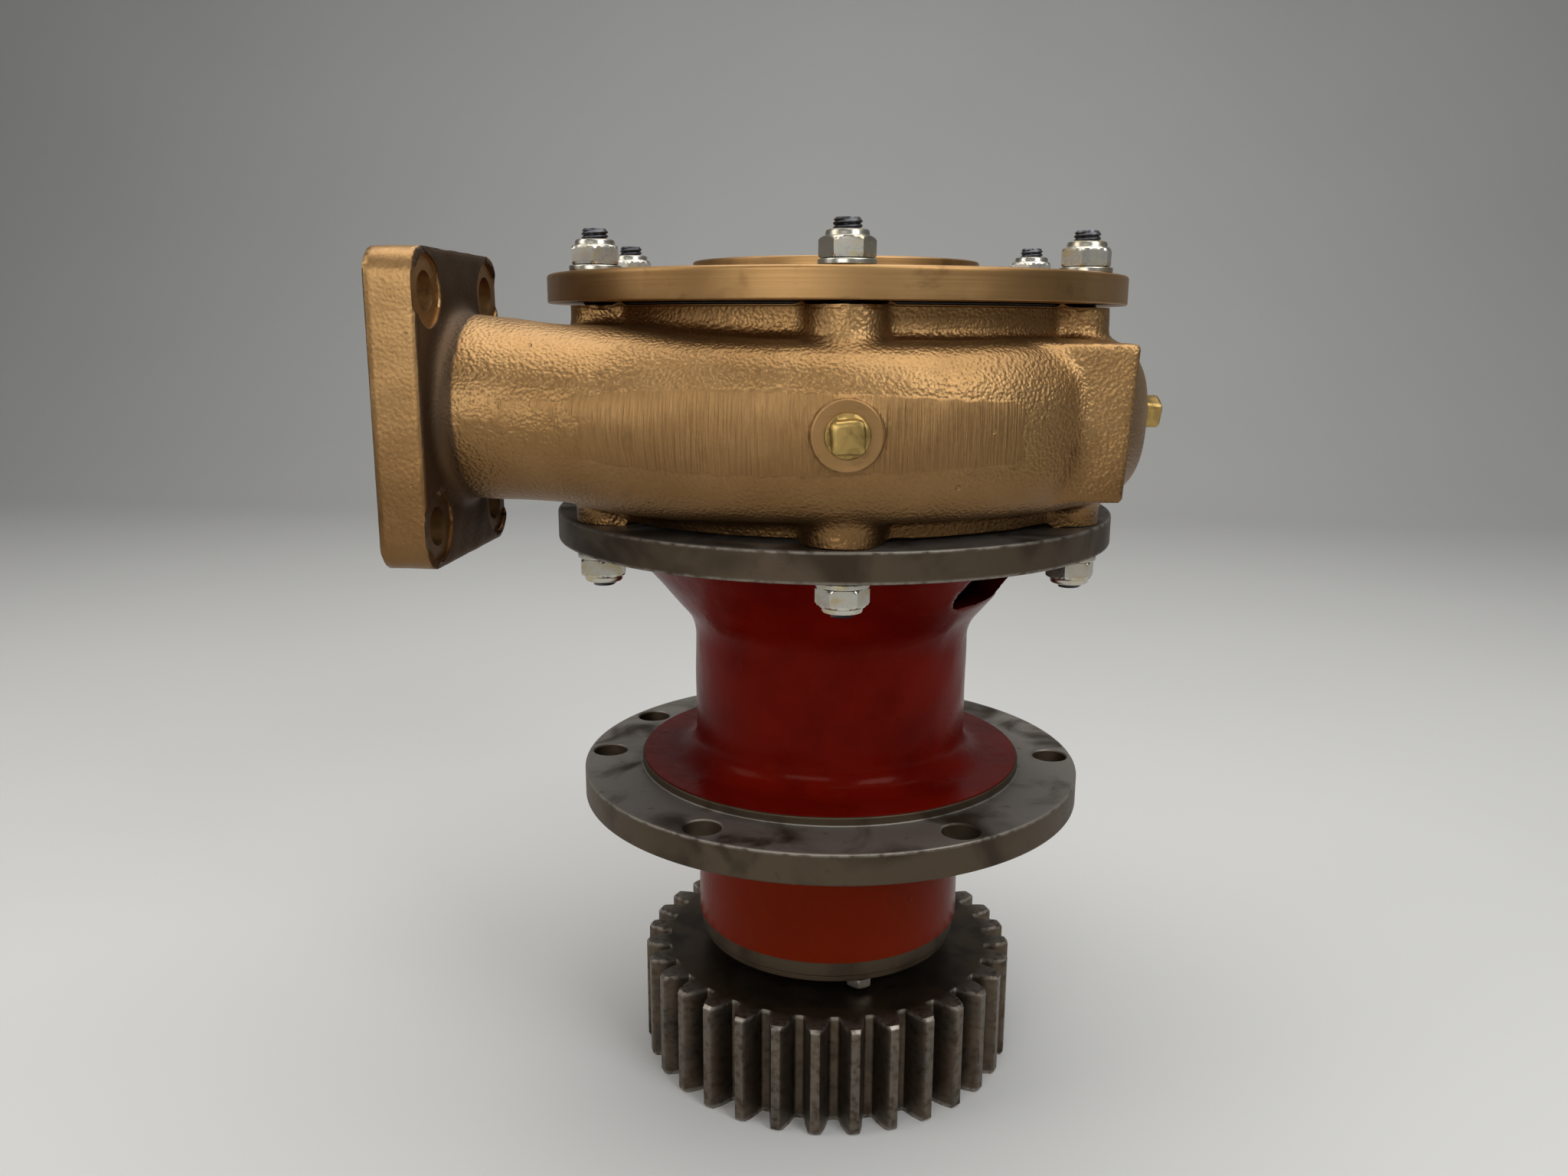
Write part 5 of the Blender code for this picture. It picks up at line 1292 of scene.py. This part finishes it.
@dataclass
class Housing(Assembly):
    """Iron bearing housing: painted barrel and cone between bare turned flanges."""

    finishes: Finishes
    cell: float = 0.0019
    hole_circle: float = 0.1008
    hole_radius: float = 0.0075
    hole_phase: float = math.radians(3.5)
    extra_hole: float = math.radians(153.5)
    window_angle: float = math.radians(-27.0)
    window_z: float = 0.2290
    window_half: float = 0.0195
    window_round: float = 0.0105
    barrel: float = 0.0605
    lower_barrel: float = 0.0598
    step_radius: float = 0.0843
    bearing_bore: float = 0.0480
    shaft_bore: float = 0.0310
    top_faces: tuple[float, float] = (0.2414, 0.2535)
    mount_faces: tuple[float, float] = (0.1248, 0.1377)

    def paint_field(self, points: Array) -> Array:
        """Painted casting: barrel, cone and step, hollow, with the drain window.

        Args:
            points: Places to measure from.

        Returns:
            Distance to the casting's skin, below zero inside.
        """
        radius = np.hypot(points[..., 0], points[..., 1])
        z = points[..., 2]
        barrel = np.maximum(radius - self.barrel, np.maximum(z - 0.2410, 0.1290 - z))
        slope = (0.0315, 0.0374)
        long = math.hypot(*slope)
        cone = ((radius - 0.0615) * slope[1] - (z - 0.2040) * slope[0]) / long
        cone = np.maximum(cone, np.maximum(0.1900 - z, z - 0.2412))
        step = np.maximum(radius - self.step_radius, np.maximum(z - 0.1419, 0.1390 - z))
        body = join(barrel, np.maximum(cone, 0.1980 - z), 0.0050)
        body = join(body, step, 0.0115)
        uneven = ease((0.2380 - z) / 0.006) * ease((z - 0.1440) / 0.006)
        body = body + 0.00030 * ripple(points, 0.040, 2.2) * uneven
        lower = np.maximum(radius - self.lower_barrel, np.maximum(z - 0.1300, 0.0648 - z))
        body = np.minimum(body, lower)
        inner = np.maximum(radius - self.bearing_bore, z - 0.1885)
        hall = np.maximum(((radius - 0.0500) * 0.0350 - (z - 0.2040) * 0.0320) / 0.0474, 0.2030 - z)
        body = np.maximum(body, -inner)
        body = np.maximum(body, -np.maximum(hall, z - 0.2450))
        body = np.maximum(body, -(radius - self.shaft_bore))
        along, across = along_across(points, self.window_angle)
        side = np.maximum(np.abs(across) - self.window_half, 0.0)
        slot = np.hypot(side, z - self.window_z) - self.window_round
        slot = np.maximum(slot, 0.0350 - along)
        return cut(body, slot, 0.0016)

    def drilled(self, piece: bpy.types.Object, places: Iterable[Vector], radius: float,
                faces: tuple[float, float]) -> None:
        """Cut upright holes with chamfered rims through a piece.

        Args:
            piece: The flange.
            places: Where the holes stand.
            radius: The holes' radius.
            faces: Heights of the flange's lower and upper face.
        """
        low, high = faces
        chamfer, past = 0.0007, 0.002
        rim = radius + chamfer
        rows = np.array([
            (0.0, low - past), (rim + past, low - past), (rim, low), (radius, low + chamfer),
            (radius, high - chamfer), (rim, high), (rim + past, high + past), (0.0, high + past)])
        tools = [turned("drill", rows, self.finishes.iron, 48, False, Matrix.Translation(place))
                 for place in places]
        group = bpy.data.collections.new("drills")
        for tool in tools:
            group.objects.link(tool)
        change = piece.modifiers.new("holes", "BOOLEAN")
        change.operation = "DIFFERENCE"
        change.solver = "EXACT"
        change.operand_type = "COLLECTION"
        change.collection = group
        finished = piece.evaluated_get(bpy.context.evaluated_depsgraph_get())
        shape = bpy.data.meshes.new_from_object(finished)
        piece.modifiers.clear()
        piece.data = shape
        shape.shade_smooth()
        shape.set_sharp_from_angle(angle=math.radians(30.0))
        for tool in tools:
            bpy.data.objects.remove(tool)
        bpy.data.collections.remove(group)

    def build(self) -> None:
        """Build the painted casting and the three bare parts."""
        iron = self.finishes.iron
        low, high = (-0.0990, -0.0990, 0.0600), (0.0990, 0.0990, 0.2445)
        skin = Skin(self.paint_field, low, high, cell_size(self.cell))
        paint = finish_mesh("housing_paint", skin.vertices, skin.faces, self.finishes.red, 50.0, False)
        self.put(paint, "pump_body", "bearing_housing")
        flange = turned("housing_top_flange", rounded_outline([
            (0.0780, 0.2535, 0.0004), (0.1187, 0.2535, 0.0009), (0.1187, 0.2414, 0.0009),
            (0.0820, 0.2414, 0.0003), (0.0820, 0.2450, 0.0003), (0.0780, 0.2450, 0.0003)]), iron, 192)
        studs = [at_polar(STUD_CIRCLE, angle) for angle in STUD_ANGLES]
        self.drilled(flange, studs, STUD_HOLE, self.top_faces)
        self.put(flange, "pump_body", "top_flange")
        mount = turned("housing_mount_flange", rounded_outline([
            (0.0560, 0.1414, 0.0004), (0.0851, 0.1414, 0.0006), (0.0851, 0.1377, 0.0004),
            (0.1107, 0.1377, 0.0007), (0.1107, 0.1248, 0.0007), (0.0560, 0.1248, 0.0004)]), iron, 192)
        angles = [self.hole_phase + TAU / 6.0 * i for i in range(6)] + [self.extra_hole]
        holes = [at_polar(self.hole_circle, angle) for angle in angles]
        self.drilled(mount, holes, self.hole_radius, self.mount_faces)
        self.put(mount, "pump_body", "mounting_flange")
        foot = turned("housing_foot", rounded_outline([
            (0.0453, 0.0655, 0.0003), (0.0585, 0.0655, 0.0010), (0.0585, 0.0577, 0.0006),
            (0.0453, 0.0577, 0.0006)]), iron, 160)
        self.put(foot, "pump_body", "bearing_housing")


@dataclass
class LowerEnd(Assembly):
    """Bearing retainer, its bolts and the spacer above the gear."""

    finishes: Finishes
    bolts: int = 3
    bolt_circle: float = 0.0520
    bolt_phase: float = math.radians(-71.5)
    bolt_flats: float = 0.0100

    def build(self) -> None:
        """Turn the plate and spacer and shape the bolts."""
        plate = turned("retainer", rounded_outline([
            (0.0447, 0.0597, 0.0003), (0.0447, 0.0574, 0.0002), (0.0575, 0.0574, 0.0003),
            (0.0575, 0.0549, 0.0005), (0.0280, 0.0549, 0.0005), (0.0280, 0.0575, 0.0003),
            (0.0390, 0.0575, 0.0003), (0.0390, 0.0597, 0.0003)]), self.finishes.iron, 128)
        self.put(plate, "pump_body", "bearing_retainer")
        corner = self.bolt_flats / math.sqrt(3.0)
        rows = np.array([
            (0.0, 0.0508), (0.0044, 0.0506), (0.0049, 0.0506), (corner - 0.0002, 0.0510),
            (corner + 0.001, 0.0514), (corner + 0.001, 0.0542), (corner - 0.0003, 0.0546),
            (0.0030, 0.0546), (0.0030, 0.0685), (0.0026, 0.0690), (0.0, 0.0690)])
        for i in range(self.bolts):
            place = Matrix.Translation(
                at_polar(self.bolt_circle, self.bolt_phase + TAU / self.bolts * i))
            bolt = shaped_bar(f"retainer_screw_{i + 1}", rows, flats(6, self.bolt_flats), 72,
                              self.finishes.steel, place, 0.35 * i, 30.0)
            self.put(bolt, "pump_body", f"retainer_bolt_{i + 1}")
        spacer = turned("spacer", rounded_outline([
            (0.0203, 0.0597, 0.0003), (0.0265, 0.0597, 0.0006), (0.0265, 0.0486, 0.0006),
            (0.0203, 0.0486, 0.0003)]), self.finishes.steel, 96)
        self.put(spacer, "rotor", "gear_spacer")


@dataclass
class DriveGear(Assembly):
    """Spur gear: involute flanks, root fillets, chamfered tooth ends and a recessed bore."""

    finishes: Finishes
    module: float = 0.005
    teeth: int = 32
    pressure: float = math.radians(20.0)
    width: float = 0.0483
    tooth_angle: float = math.radians(258.7)
    bore: float = 0.0178
    recess: float = 0.030
    recess_depth: float = 0.018
    chamfer: float = 0.0012
    root_round: float = 0.0016
    bright_tip_radius: float = 0.0843

    def section(self) -> tuple[Array, Array]:
        """Outline of all the teeth.

        A flank point at radius r stands at the angle of half a tooth plus inv(pressure)
        less inv(arccos(base / r)), where inv(a) = tan(a) - a. Below the working flank a
        curve runs into the root circle.

        Returns:
            Radius and angle of every outline point.
        """
        pitch = self.module * self.teeth / 2.0
        base = pitch * math.cos(self.pressure)
        tip, root = pitch + self.module, pitch - 1.25 * self.module
        spread = math.tan(self.pressure) - self.pressure
        half_tooth = math.pi / (2.0 * self.teeth)
        start = root + self.root_round
        radii = np.linspace(start, tip - 0.0002, 9)
        tangent = np.sqrt(np.maximum((radii / base) ** 2 - 1.0, 0.0))
        flank = half_tooth + spread - (tangent - np.arctan(tangent))
        t = np.linspace(0.0, 1.0, 5)[:-1]
        foot_radius = root + (start - root) * (1.0 - np.sqrt(1.0 - t ** 2))
        foot_angle = flank[0] + self.root_round / root * (1.0 - t)
        gap = TAU / (2.0 * self.teeth)
        crest = np.array([tip, tip])
        crest_angle = np.array([flank[-1] * 0.93, flank[-1] * 0.45])
        radius = np.concatenate([[root], foot_radius, radii, crest])
        angle = np.concatenate([[gap], foot_angle, flank, crest_angle])
        one_radius = np.concatenate([radius, radius[:0:-1]])
        one_angle = np.concatenate([-angle, angle[:0:-1]])
        centres = self.tooth_angle + np.arange(self.teeth) * TAU / self.teeth
        all_angles = (centres[:, None] + one_angle[None, :]).ravel()
        return np.tile(one_radius, self.teeth), all_angles

    def build(self) -> None:
        """Join rows of the outline from the recess, round the teeth and back down the bore."""
        radius, angle = self.section()
        root = self.module * self.teeth / 2.0 - 1.25 * self.module
        chamfer = self.chamfer
        loops: list[tuple[Array, float, float]] = []

        def circle(size: float, height: float, edge: float = 0.0) -> None:
            """Add a round row."""
            loops.append((np.full_like(radius, size), height, edge))

        def toothed(inset: float, height: float, edge: float) -> None:
            """Add a row of teeth, their tips brought in by the inset."""
            tip = self.module * self.teeth / 2.0 + self.module - inset
            loops.append((np.minimum(radius, tip), height, edge))

        circle(self.bore, self.recess_depth + 0.0006)
        circle(self.bore + 0.0006, self.recess_depth)
        circle(self.recess - 0.0004, self.recess_depth)
        circle(self.recess, self.recess_depth - 0.0004)
        circle(self.recess, 0.0008)
        circle(self.recess + 0.0007, 0.0, 0.8)
        circle(self.recess + 0.0014, 0.0)
        circle(root - 0.0060, 0.0)
        circle(root - 0.0004, 0.0)
        toothed(chamfer, 0.0, 0.7)
        toothed(chamfer * 0.5, chamfer * 0.5, 1.0)
        toothed(0.0, chamfer, 0.8)
        toothed(0.0, chamfer + 0.0010, 0.15)
        toothed(0.0, self.width * 0.5, 0.12)
        toothed(0.0, self.width - chamfer - 0.0010, 0.15)
        toothed(0.0, self.width - chamfer, 0.8)
        toothed(chamfer * 0.5, self.width - chamfer * 0.5, 1.0)
        toothed(chamfer, self.width, 0.7)
        circle(root - 0.0004, self.width)
        circle(root - 0.0060, self.width)
        circle(self.bore + 0.0014, self.width)
        circle(self.bore + 0.0006, self.width, 0.6)
        circle(self.bore, self.width - 0.0006)
        rows = len(loops)
        points = np.stack([
            np.stack([r * np.cos(angle), r * np.sin(angle), np.full_like(r, z)], axis=-1)
            for r, z, _ in loops])
        edge = np.repeat(np.array([mark for _, _, mark in loops]), len(radius))
        reach = np.concatenate([r for r, _, _ in loops])
        # tooth tips above this radius join the lightened edge: worn metal and painted highlight
        tip_edge = np.clip((reach - self.bright_tip_radius) / 0.0006, 0.0, 1.0) * 0.35
        faces = grid_faces(rows, len(radius), True)
        piece = finish_mesh("gear", points.reshape(-1, 3), faces, self.finishes.gear, 28.0, False)
        add_mask(piece, "edge", np.maximum(edge, tip_edge))
        shape = bmesh.new()
        shape.from_mesh(piece.data)
        bmesh.ops.recalc_face_normals(shape, faces=shape.faces[:])
        shape.to_mesh(piece.data)
        shape.free()
        piece.data.shade_smooth()
        piece.data.set_sharp_from_angle(angle=math.radians(28.0))
        self.put(piece, "rotor", "drive_gear")


@dataclass
class Rotor(Assembly):
    """Impeller with its dome nut, slinger, seal parts and the gear's nut and washer."""

    finishes: Finishes
    cell: float = 0.0014
    vanes: int = 6
    sweep: float = math.radians(80.0)
    eye: float = 0.0355
    rim: float = 0.0780
    bore: float = 0.0143

    def impeller_field(self, points: Array) -> Array:
        """Distance to the closed impeller.

        A vane's middle line stands at an angle of the sweep times s to the power 0.8, s
        running from 0 at the eye to 1 at the rim; the six vanes fold into one.

        Args:
            points: Places to measure from.

        Returns:
            Distance to the impeller's skin, below zero inside.
        """
        radius = np.hypot(points[..., 0], points[..., 1])
        z = points[..., 2]
        plate = np.maximum(radius - self.rim, np.maximum(0.2682 - z, z - 0.2720))
        hub = np.maximum(radius - 0.0205 - 0.0016 * ease((0.2997 - z) / 0.02),
                         np.maximum(0.2663 - z, z - 0.2997))
        solid = join(plate, hub, 0.0200)
        solid = np.maximum(solid, np.where(radius < 0.0200, 0.2663 - z, 0.2682 - z))
        fall = np.clip((radius - 0.0480) / 0.0300, 0.0, 1.0)
        roof = 0.3085 - 0.0140 * fall
        shroud = np.maximum(np.abs(z - roof + 0.0015) - 0.0015,
                            np.maximum(radius - self.rim, self.eye - radius))
        neck = np.maximum(np.abs(radius - 0.03775) - 0.00225, np.maximum(0.3070 - z, z - 0.3240))
        lid = join(shroud, neck, 0.0040)
        share = np.clip((radius - 0.0370) / 0.0400, 1e-4, 1.0)
        sector = TAU / self.vanes
        off = np.arctan2(points[..., 1], points[..., 0]) - self.sweep * share ** 0.8
        off = np.mod(off + sector / 2.0, sector) - sector / 2.0
        vane = np.abs(radius * off) * math.cos(math.radians(38.0)) - 0.0018
        vane = np.maximum(vane, np.maximum(radius - 0.0778, 0.0370 - radius))
        vane = np.maximum(vane, np.maximum(0.2700 - z, z - roof + 0.0010))
        solid = join(join(solid, vane, 0.0025), lid, 0.0025)
        bore = radius - self.bore
        keyway = np.maximum(np.abs(points[..., 1]) - 0.0031, np.maximum(0.0110 - points[..., 0],
                                                                       points[..., 0] - 0.0167))
        return np.maximum(solid, -np.minimum(bore, keyway))

    def build(self) -> None:
        """Build the rotor's fine pieces."""
        steel, brass = self.finishes.steel, self.finishes.brass
        low, high = (-0.0815, -0.0815, 0.2630), (0.0815, 0.0815, 0.3275)
        skin = Skin(self.impeller_field, low, high, cell_size(self.cell))
        piece = finish_mesh(
            "impeller_fine", skin.vertices, skin.faces, self.finishes.cast_bronze, 45.0, False)
        self.put(piece, "rotor", "impeller")
        rows = np.array([
            (0.0, 0.3157), (0.0098, 0.3157), (0.0098, 0.3024), (0.0118, 0.3023), (0.0132, 0.3026),
            (0.0150, 0.3032), (0.0150, 0.3102), (0.0138, 0.3111), (0.0120, 0.3117),
            (0.0117, 0.3135), (0.0106, 0.3165), (0.0084, 0.3190), (0.0050, 0.3205), (0.0, 0.3210)])
        nut = shaped_bar("impeller_dome_nut", rows, flats(6, 0.0242), 96, brass, sharp=30.0)
        self.put(nut, "rotor", "impeller_nut")
        washer = turned("impeller_plain_washer", rounded_outline([
            (0.0100, 0.3020, 0.0002), (0.0150, 0.3020, 0.0004), (0.0150, 0.3003, 0.0003),
            (0.0100, 0.3003, 0.0001)], 3), steel, 64)
        self.put(washer, "rotor", "impeller_washer")
        slinger = turned("slinger", rounded_outline([
            (0.0183, 0.2250, 0.0004), (0.0230, 0.2250, 0.0008), (0.0230, 0.2180, 0.0010),
            (0.0330, 0.2150, 0.0004), (0.0330, 0.2125, 0.0008), (0.0183, 0.2125, 0.0004)]),
            self.finishes.rubber, 96)
        self.put(slinger, "rotor", "water_slinger")
        lock = shaped_bar("gear_lock_nut", np.array([
            (0.0120, 0.0030), (0.0126, 0.0024), (0.0172, 0.0024), (0.0185, 0.0029), (0.0212, 0.0042),
            (0.0212, 0.0126), (0.0185, 0.0139), (0.0172, 0.0144), (0.0126, 0.0144), (0.0120, 0.0138)]),
            flats(6, 0.0360), 120, steel, sharp=30.0, closed=True)
        self.put(lock, "rotor", "gear_nut")
        plate = turned("gear_plain_washer", rounded_outline([
            (0.0121, 0.0177, 0.0002), (0.0235, 0.0177, 0.0006), (0.0235, 0.0147, 0.0005),
            (0.0121, 0.0147, 0.0003)], 3), steel, 96)
        self.put(plate, "rotor", "gear_washer")
        self.seal()

    def seal(self) -> None:
        """Turn the seal's carrier, seat and head."""
        carrier = turned("carrier", rounded_outline([
            (0.0310, 0.2660, 0.0004), (0.0850, 0.2660, 0.0006), (0.0850, 0.2576, 0.0004),
            (0.0917, 0.2576, 0.0004), (0.0917, 0.2538, 0.0004), (0.0777, 0.2538, 0.0004),
            (0.0777, 0.2495, 0.0010), (0.0600, 0.2495, 0.0030), (0.0420, 0.2470, 0.0020),
            (0.0420, 0.2380, 0.0010), (0.0205, 0.2380, 0.0005), (0.0205, 0.2420, 0.0003),
            (0.0310, 0.2420, 0.0003)]), self.finishes.turned_bronze, 160)
        self.put(carrier, "pump_body", "seal_carrier")
        seat = turned("stationary_seat", rounded_outline([
            (0.0225, 0.2483, 0.0003), (0.0307, 0.2483, 0.0004), (0.0307, 0.2423, 0.0004),
            (0.0225, 0.2423, 0.0003)], 3), self.finishes.ceramic, 96)
        self.put(seat, "pump_body", "seal_seat")
        head = turned("rotating_head", rounded_outline([
            (0.0183, 0.2541, 0.0004), (0.0270, 0.2541, 0.0008), (0.0270, 0.2486, 0.0008),
            (0.0183, 0.2486, 0.0004)], 3), self.finishes.carbon, 96)
        self.put(head, "rotor", "seal_head")


class Inner:
    """CAD nodes that keep their shape and take better finishes."""

    def __init__(self, finishes: Finishes) -> None:
        """Keep which finish each slot takes."""
        self.by_slot = {
            "cast_bronze": finishes.cast_bronze, "turned_bronze": finishes.turned_bronze,
            "brass": finishes.brass, "red_paint": finishes.red, "dark_iron": finishes.iron,
            "gear_steel": finishes.gear, "bright_steel": finishes.steel, "stud_steel": finishes.thread,
            "zinc_plate": finishes.zinc, "black_rubber": finishes.rubber,
            "seal_ceramic": finishes.ceramic, "seal_carbon": finishes.carbon}

    def build(self) -> None:
        """Dress every CAD node by its slot."""
        for name, node in frame["nodes"].items():
            material = self.by_slot[SLOTS[name]]
            if not node.data.materials:
                node.data.materials.append(material)
            for i in range(len(node.data.materials)):
                node.data.materials[i] = material


# ---------------------------------------------------------------------------
# Camera, light and floor
# ---------------------------------------------------------------------------


@dataclass
class Studio:
    """Pale floor, soft area lights and the camera."""

    place: Point = (0.0248, -0.5292, 0.3291)
    heading: float = math.radians(4.965)
    tilt: float = math.radians(77.84)
    roll: float = math.radians(0.266)
    lens: float = 27.82
    sensor: float = 36.0
    aim: Point = (0.0, 0.0, 0.20)
    world_strength: float = 0.20
    sheet_sweep: float = 0.8
    sheet_back: float = 1.6
    sheet_front: float = -3.0
    sheet_half: float = 4.0

    def floor(self) -> None:
        """Make the pale floor and its swept-up back, one sheet bent along a circle's arc."""
        graph = NodeGraph("floor_pale")
        cloud = graph.noise(0.35, 3.0)
        graph.set(Base_Color=graph.mix(cloud, (0.50, 0.50, 0.49), (0.54, 0.54, 0.53)), Roughness=0.75)
        turn = np.linspace(0.0, math.pi / 2.0, 24)
        sweep, back = self.sheet_sweep, self.sheet_back
        y = np.concatenate([[self.sheet_front, 0.0], back + sweep * np.sin(turn), [back + sweep]])
        z = np.concatenate([[0.0, 0.0], sweep * (1.0 - np.cos(turn)), [self.sheet_half]])
        x = np.array([-self.sheet_half, self.sheet_half])
        points = np.stack([np.broadcast_to(x, (len(y), 2)), np.repeat(y[:, None], 2, axis=1),
                           np.repeat(z[:, None], 2, axis=1)], axis=-1)
        faces = grid_faces(len(y), 2, False, False)
        sheet = finish_mesh("floor", points.reshape(-1, 3), faces, graph.material, outward=False)

    def lamp(self, name: str, place: Point, target: Point, size: tuple[float, float], power: float,
             colour: Colour) -> None:
        """Add one rectangular area light aimed at a point.

        Args:
            name: The light's name.
            place: Where it hangs.
            target: The point it faces.
            size: Its width and height.
            power: Its power in watts.
            colour: Its colour.
        """
        light = bpy.data.lights.new(name, "AREA")
        light.shape = "RECTANGLE"
        light.size, light.size_y = size
        light.energy = power
        light.color = colour
        lamp = bpy.data.objects.new(name, light)
        lamp.location = place
        lamp.rotation_euler = (Vector(target) - Vector(place)).to_track_quat("-Z", "Y").to_euler()
        bpy.context.scene.collection.objects.link(lamp)

    def build(self) -> None:
        """Set the floor, lights, world and camera."""
        self.floor()
        self.lamp("overhead", (0.10, 0.10, 1.70), self.aim, (2.2, 1.8), 34.0, (1.0, 0.985, 0.96))
        self.lamp("left_bank", (-1.30, -0.50, 0.95), self.aim, (0.7, 1.0), 6.0, (1.0, 0.98, 0.95))
        self.lamp("right_bank", (0.95, -0.95, 1.05), self.aim, (0.6, 0.6), 9.0, (0.96, 0.98, 1.0))
        self.lamp("front_fill", (-0.40, -1.50, 0.62), self.aim, (0.9, 0.4), 6.5, (1.0, 0.99, 0.97))
        world = bpy.data.worlds.new("pale_room")
        world.use_nodes = True
        background = world.node_tree.nodes["Background"]
        background.inputs[0].default_value = (0.80, 0.81, 0.82, 1.0)
        background.inputs[1].default_value = self.world_strength
        scene = bpy.context.scene
        scene.world = world
        scene.view_settings.view_transform = "Standard"
        data = bpy.data.cameras.new("camera")
        data.lens = self.lens
        data.sensor_width = self.sensor
        camera = bpy.data.objects.new("camera", data)
        turn = Matrix.Rotation(self.heading, 4, "Z") @ Matrix.Rotation(self.tilt, 4, "X")
        camera.matrix_world = Matrix.Translation(self.place) @ turn @ Matrix.Rotation(self.roll, 4, "Z")
        scene.collection.objects.link(camera)
        scene.camera = camera


def main() -> None:
    """Build the pump's pieces and its studio."""
    logging.basicConfig(level=logging.INFO, format="%(name)s: %(message)s")
    finishes = Finishes()
    Inner(finishes).build()
    for group in (Casing(finishes), Cover(finishes), Fasteners(finishes), Housing(finishes),
                  LowerEnd(finishes), DriveGear(finishes), Rotor(finishes)):
        group.build()
    Studio().build()


if __name__ == "__main__":
    main()
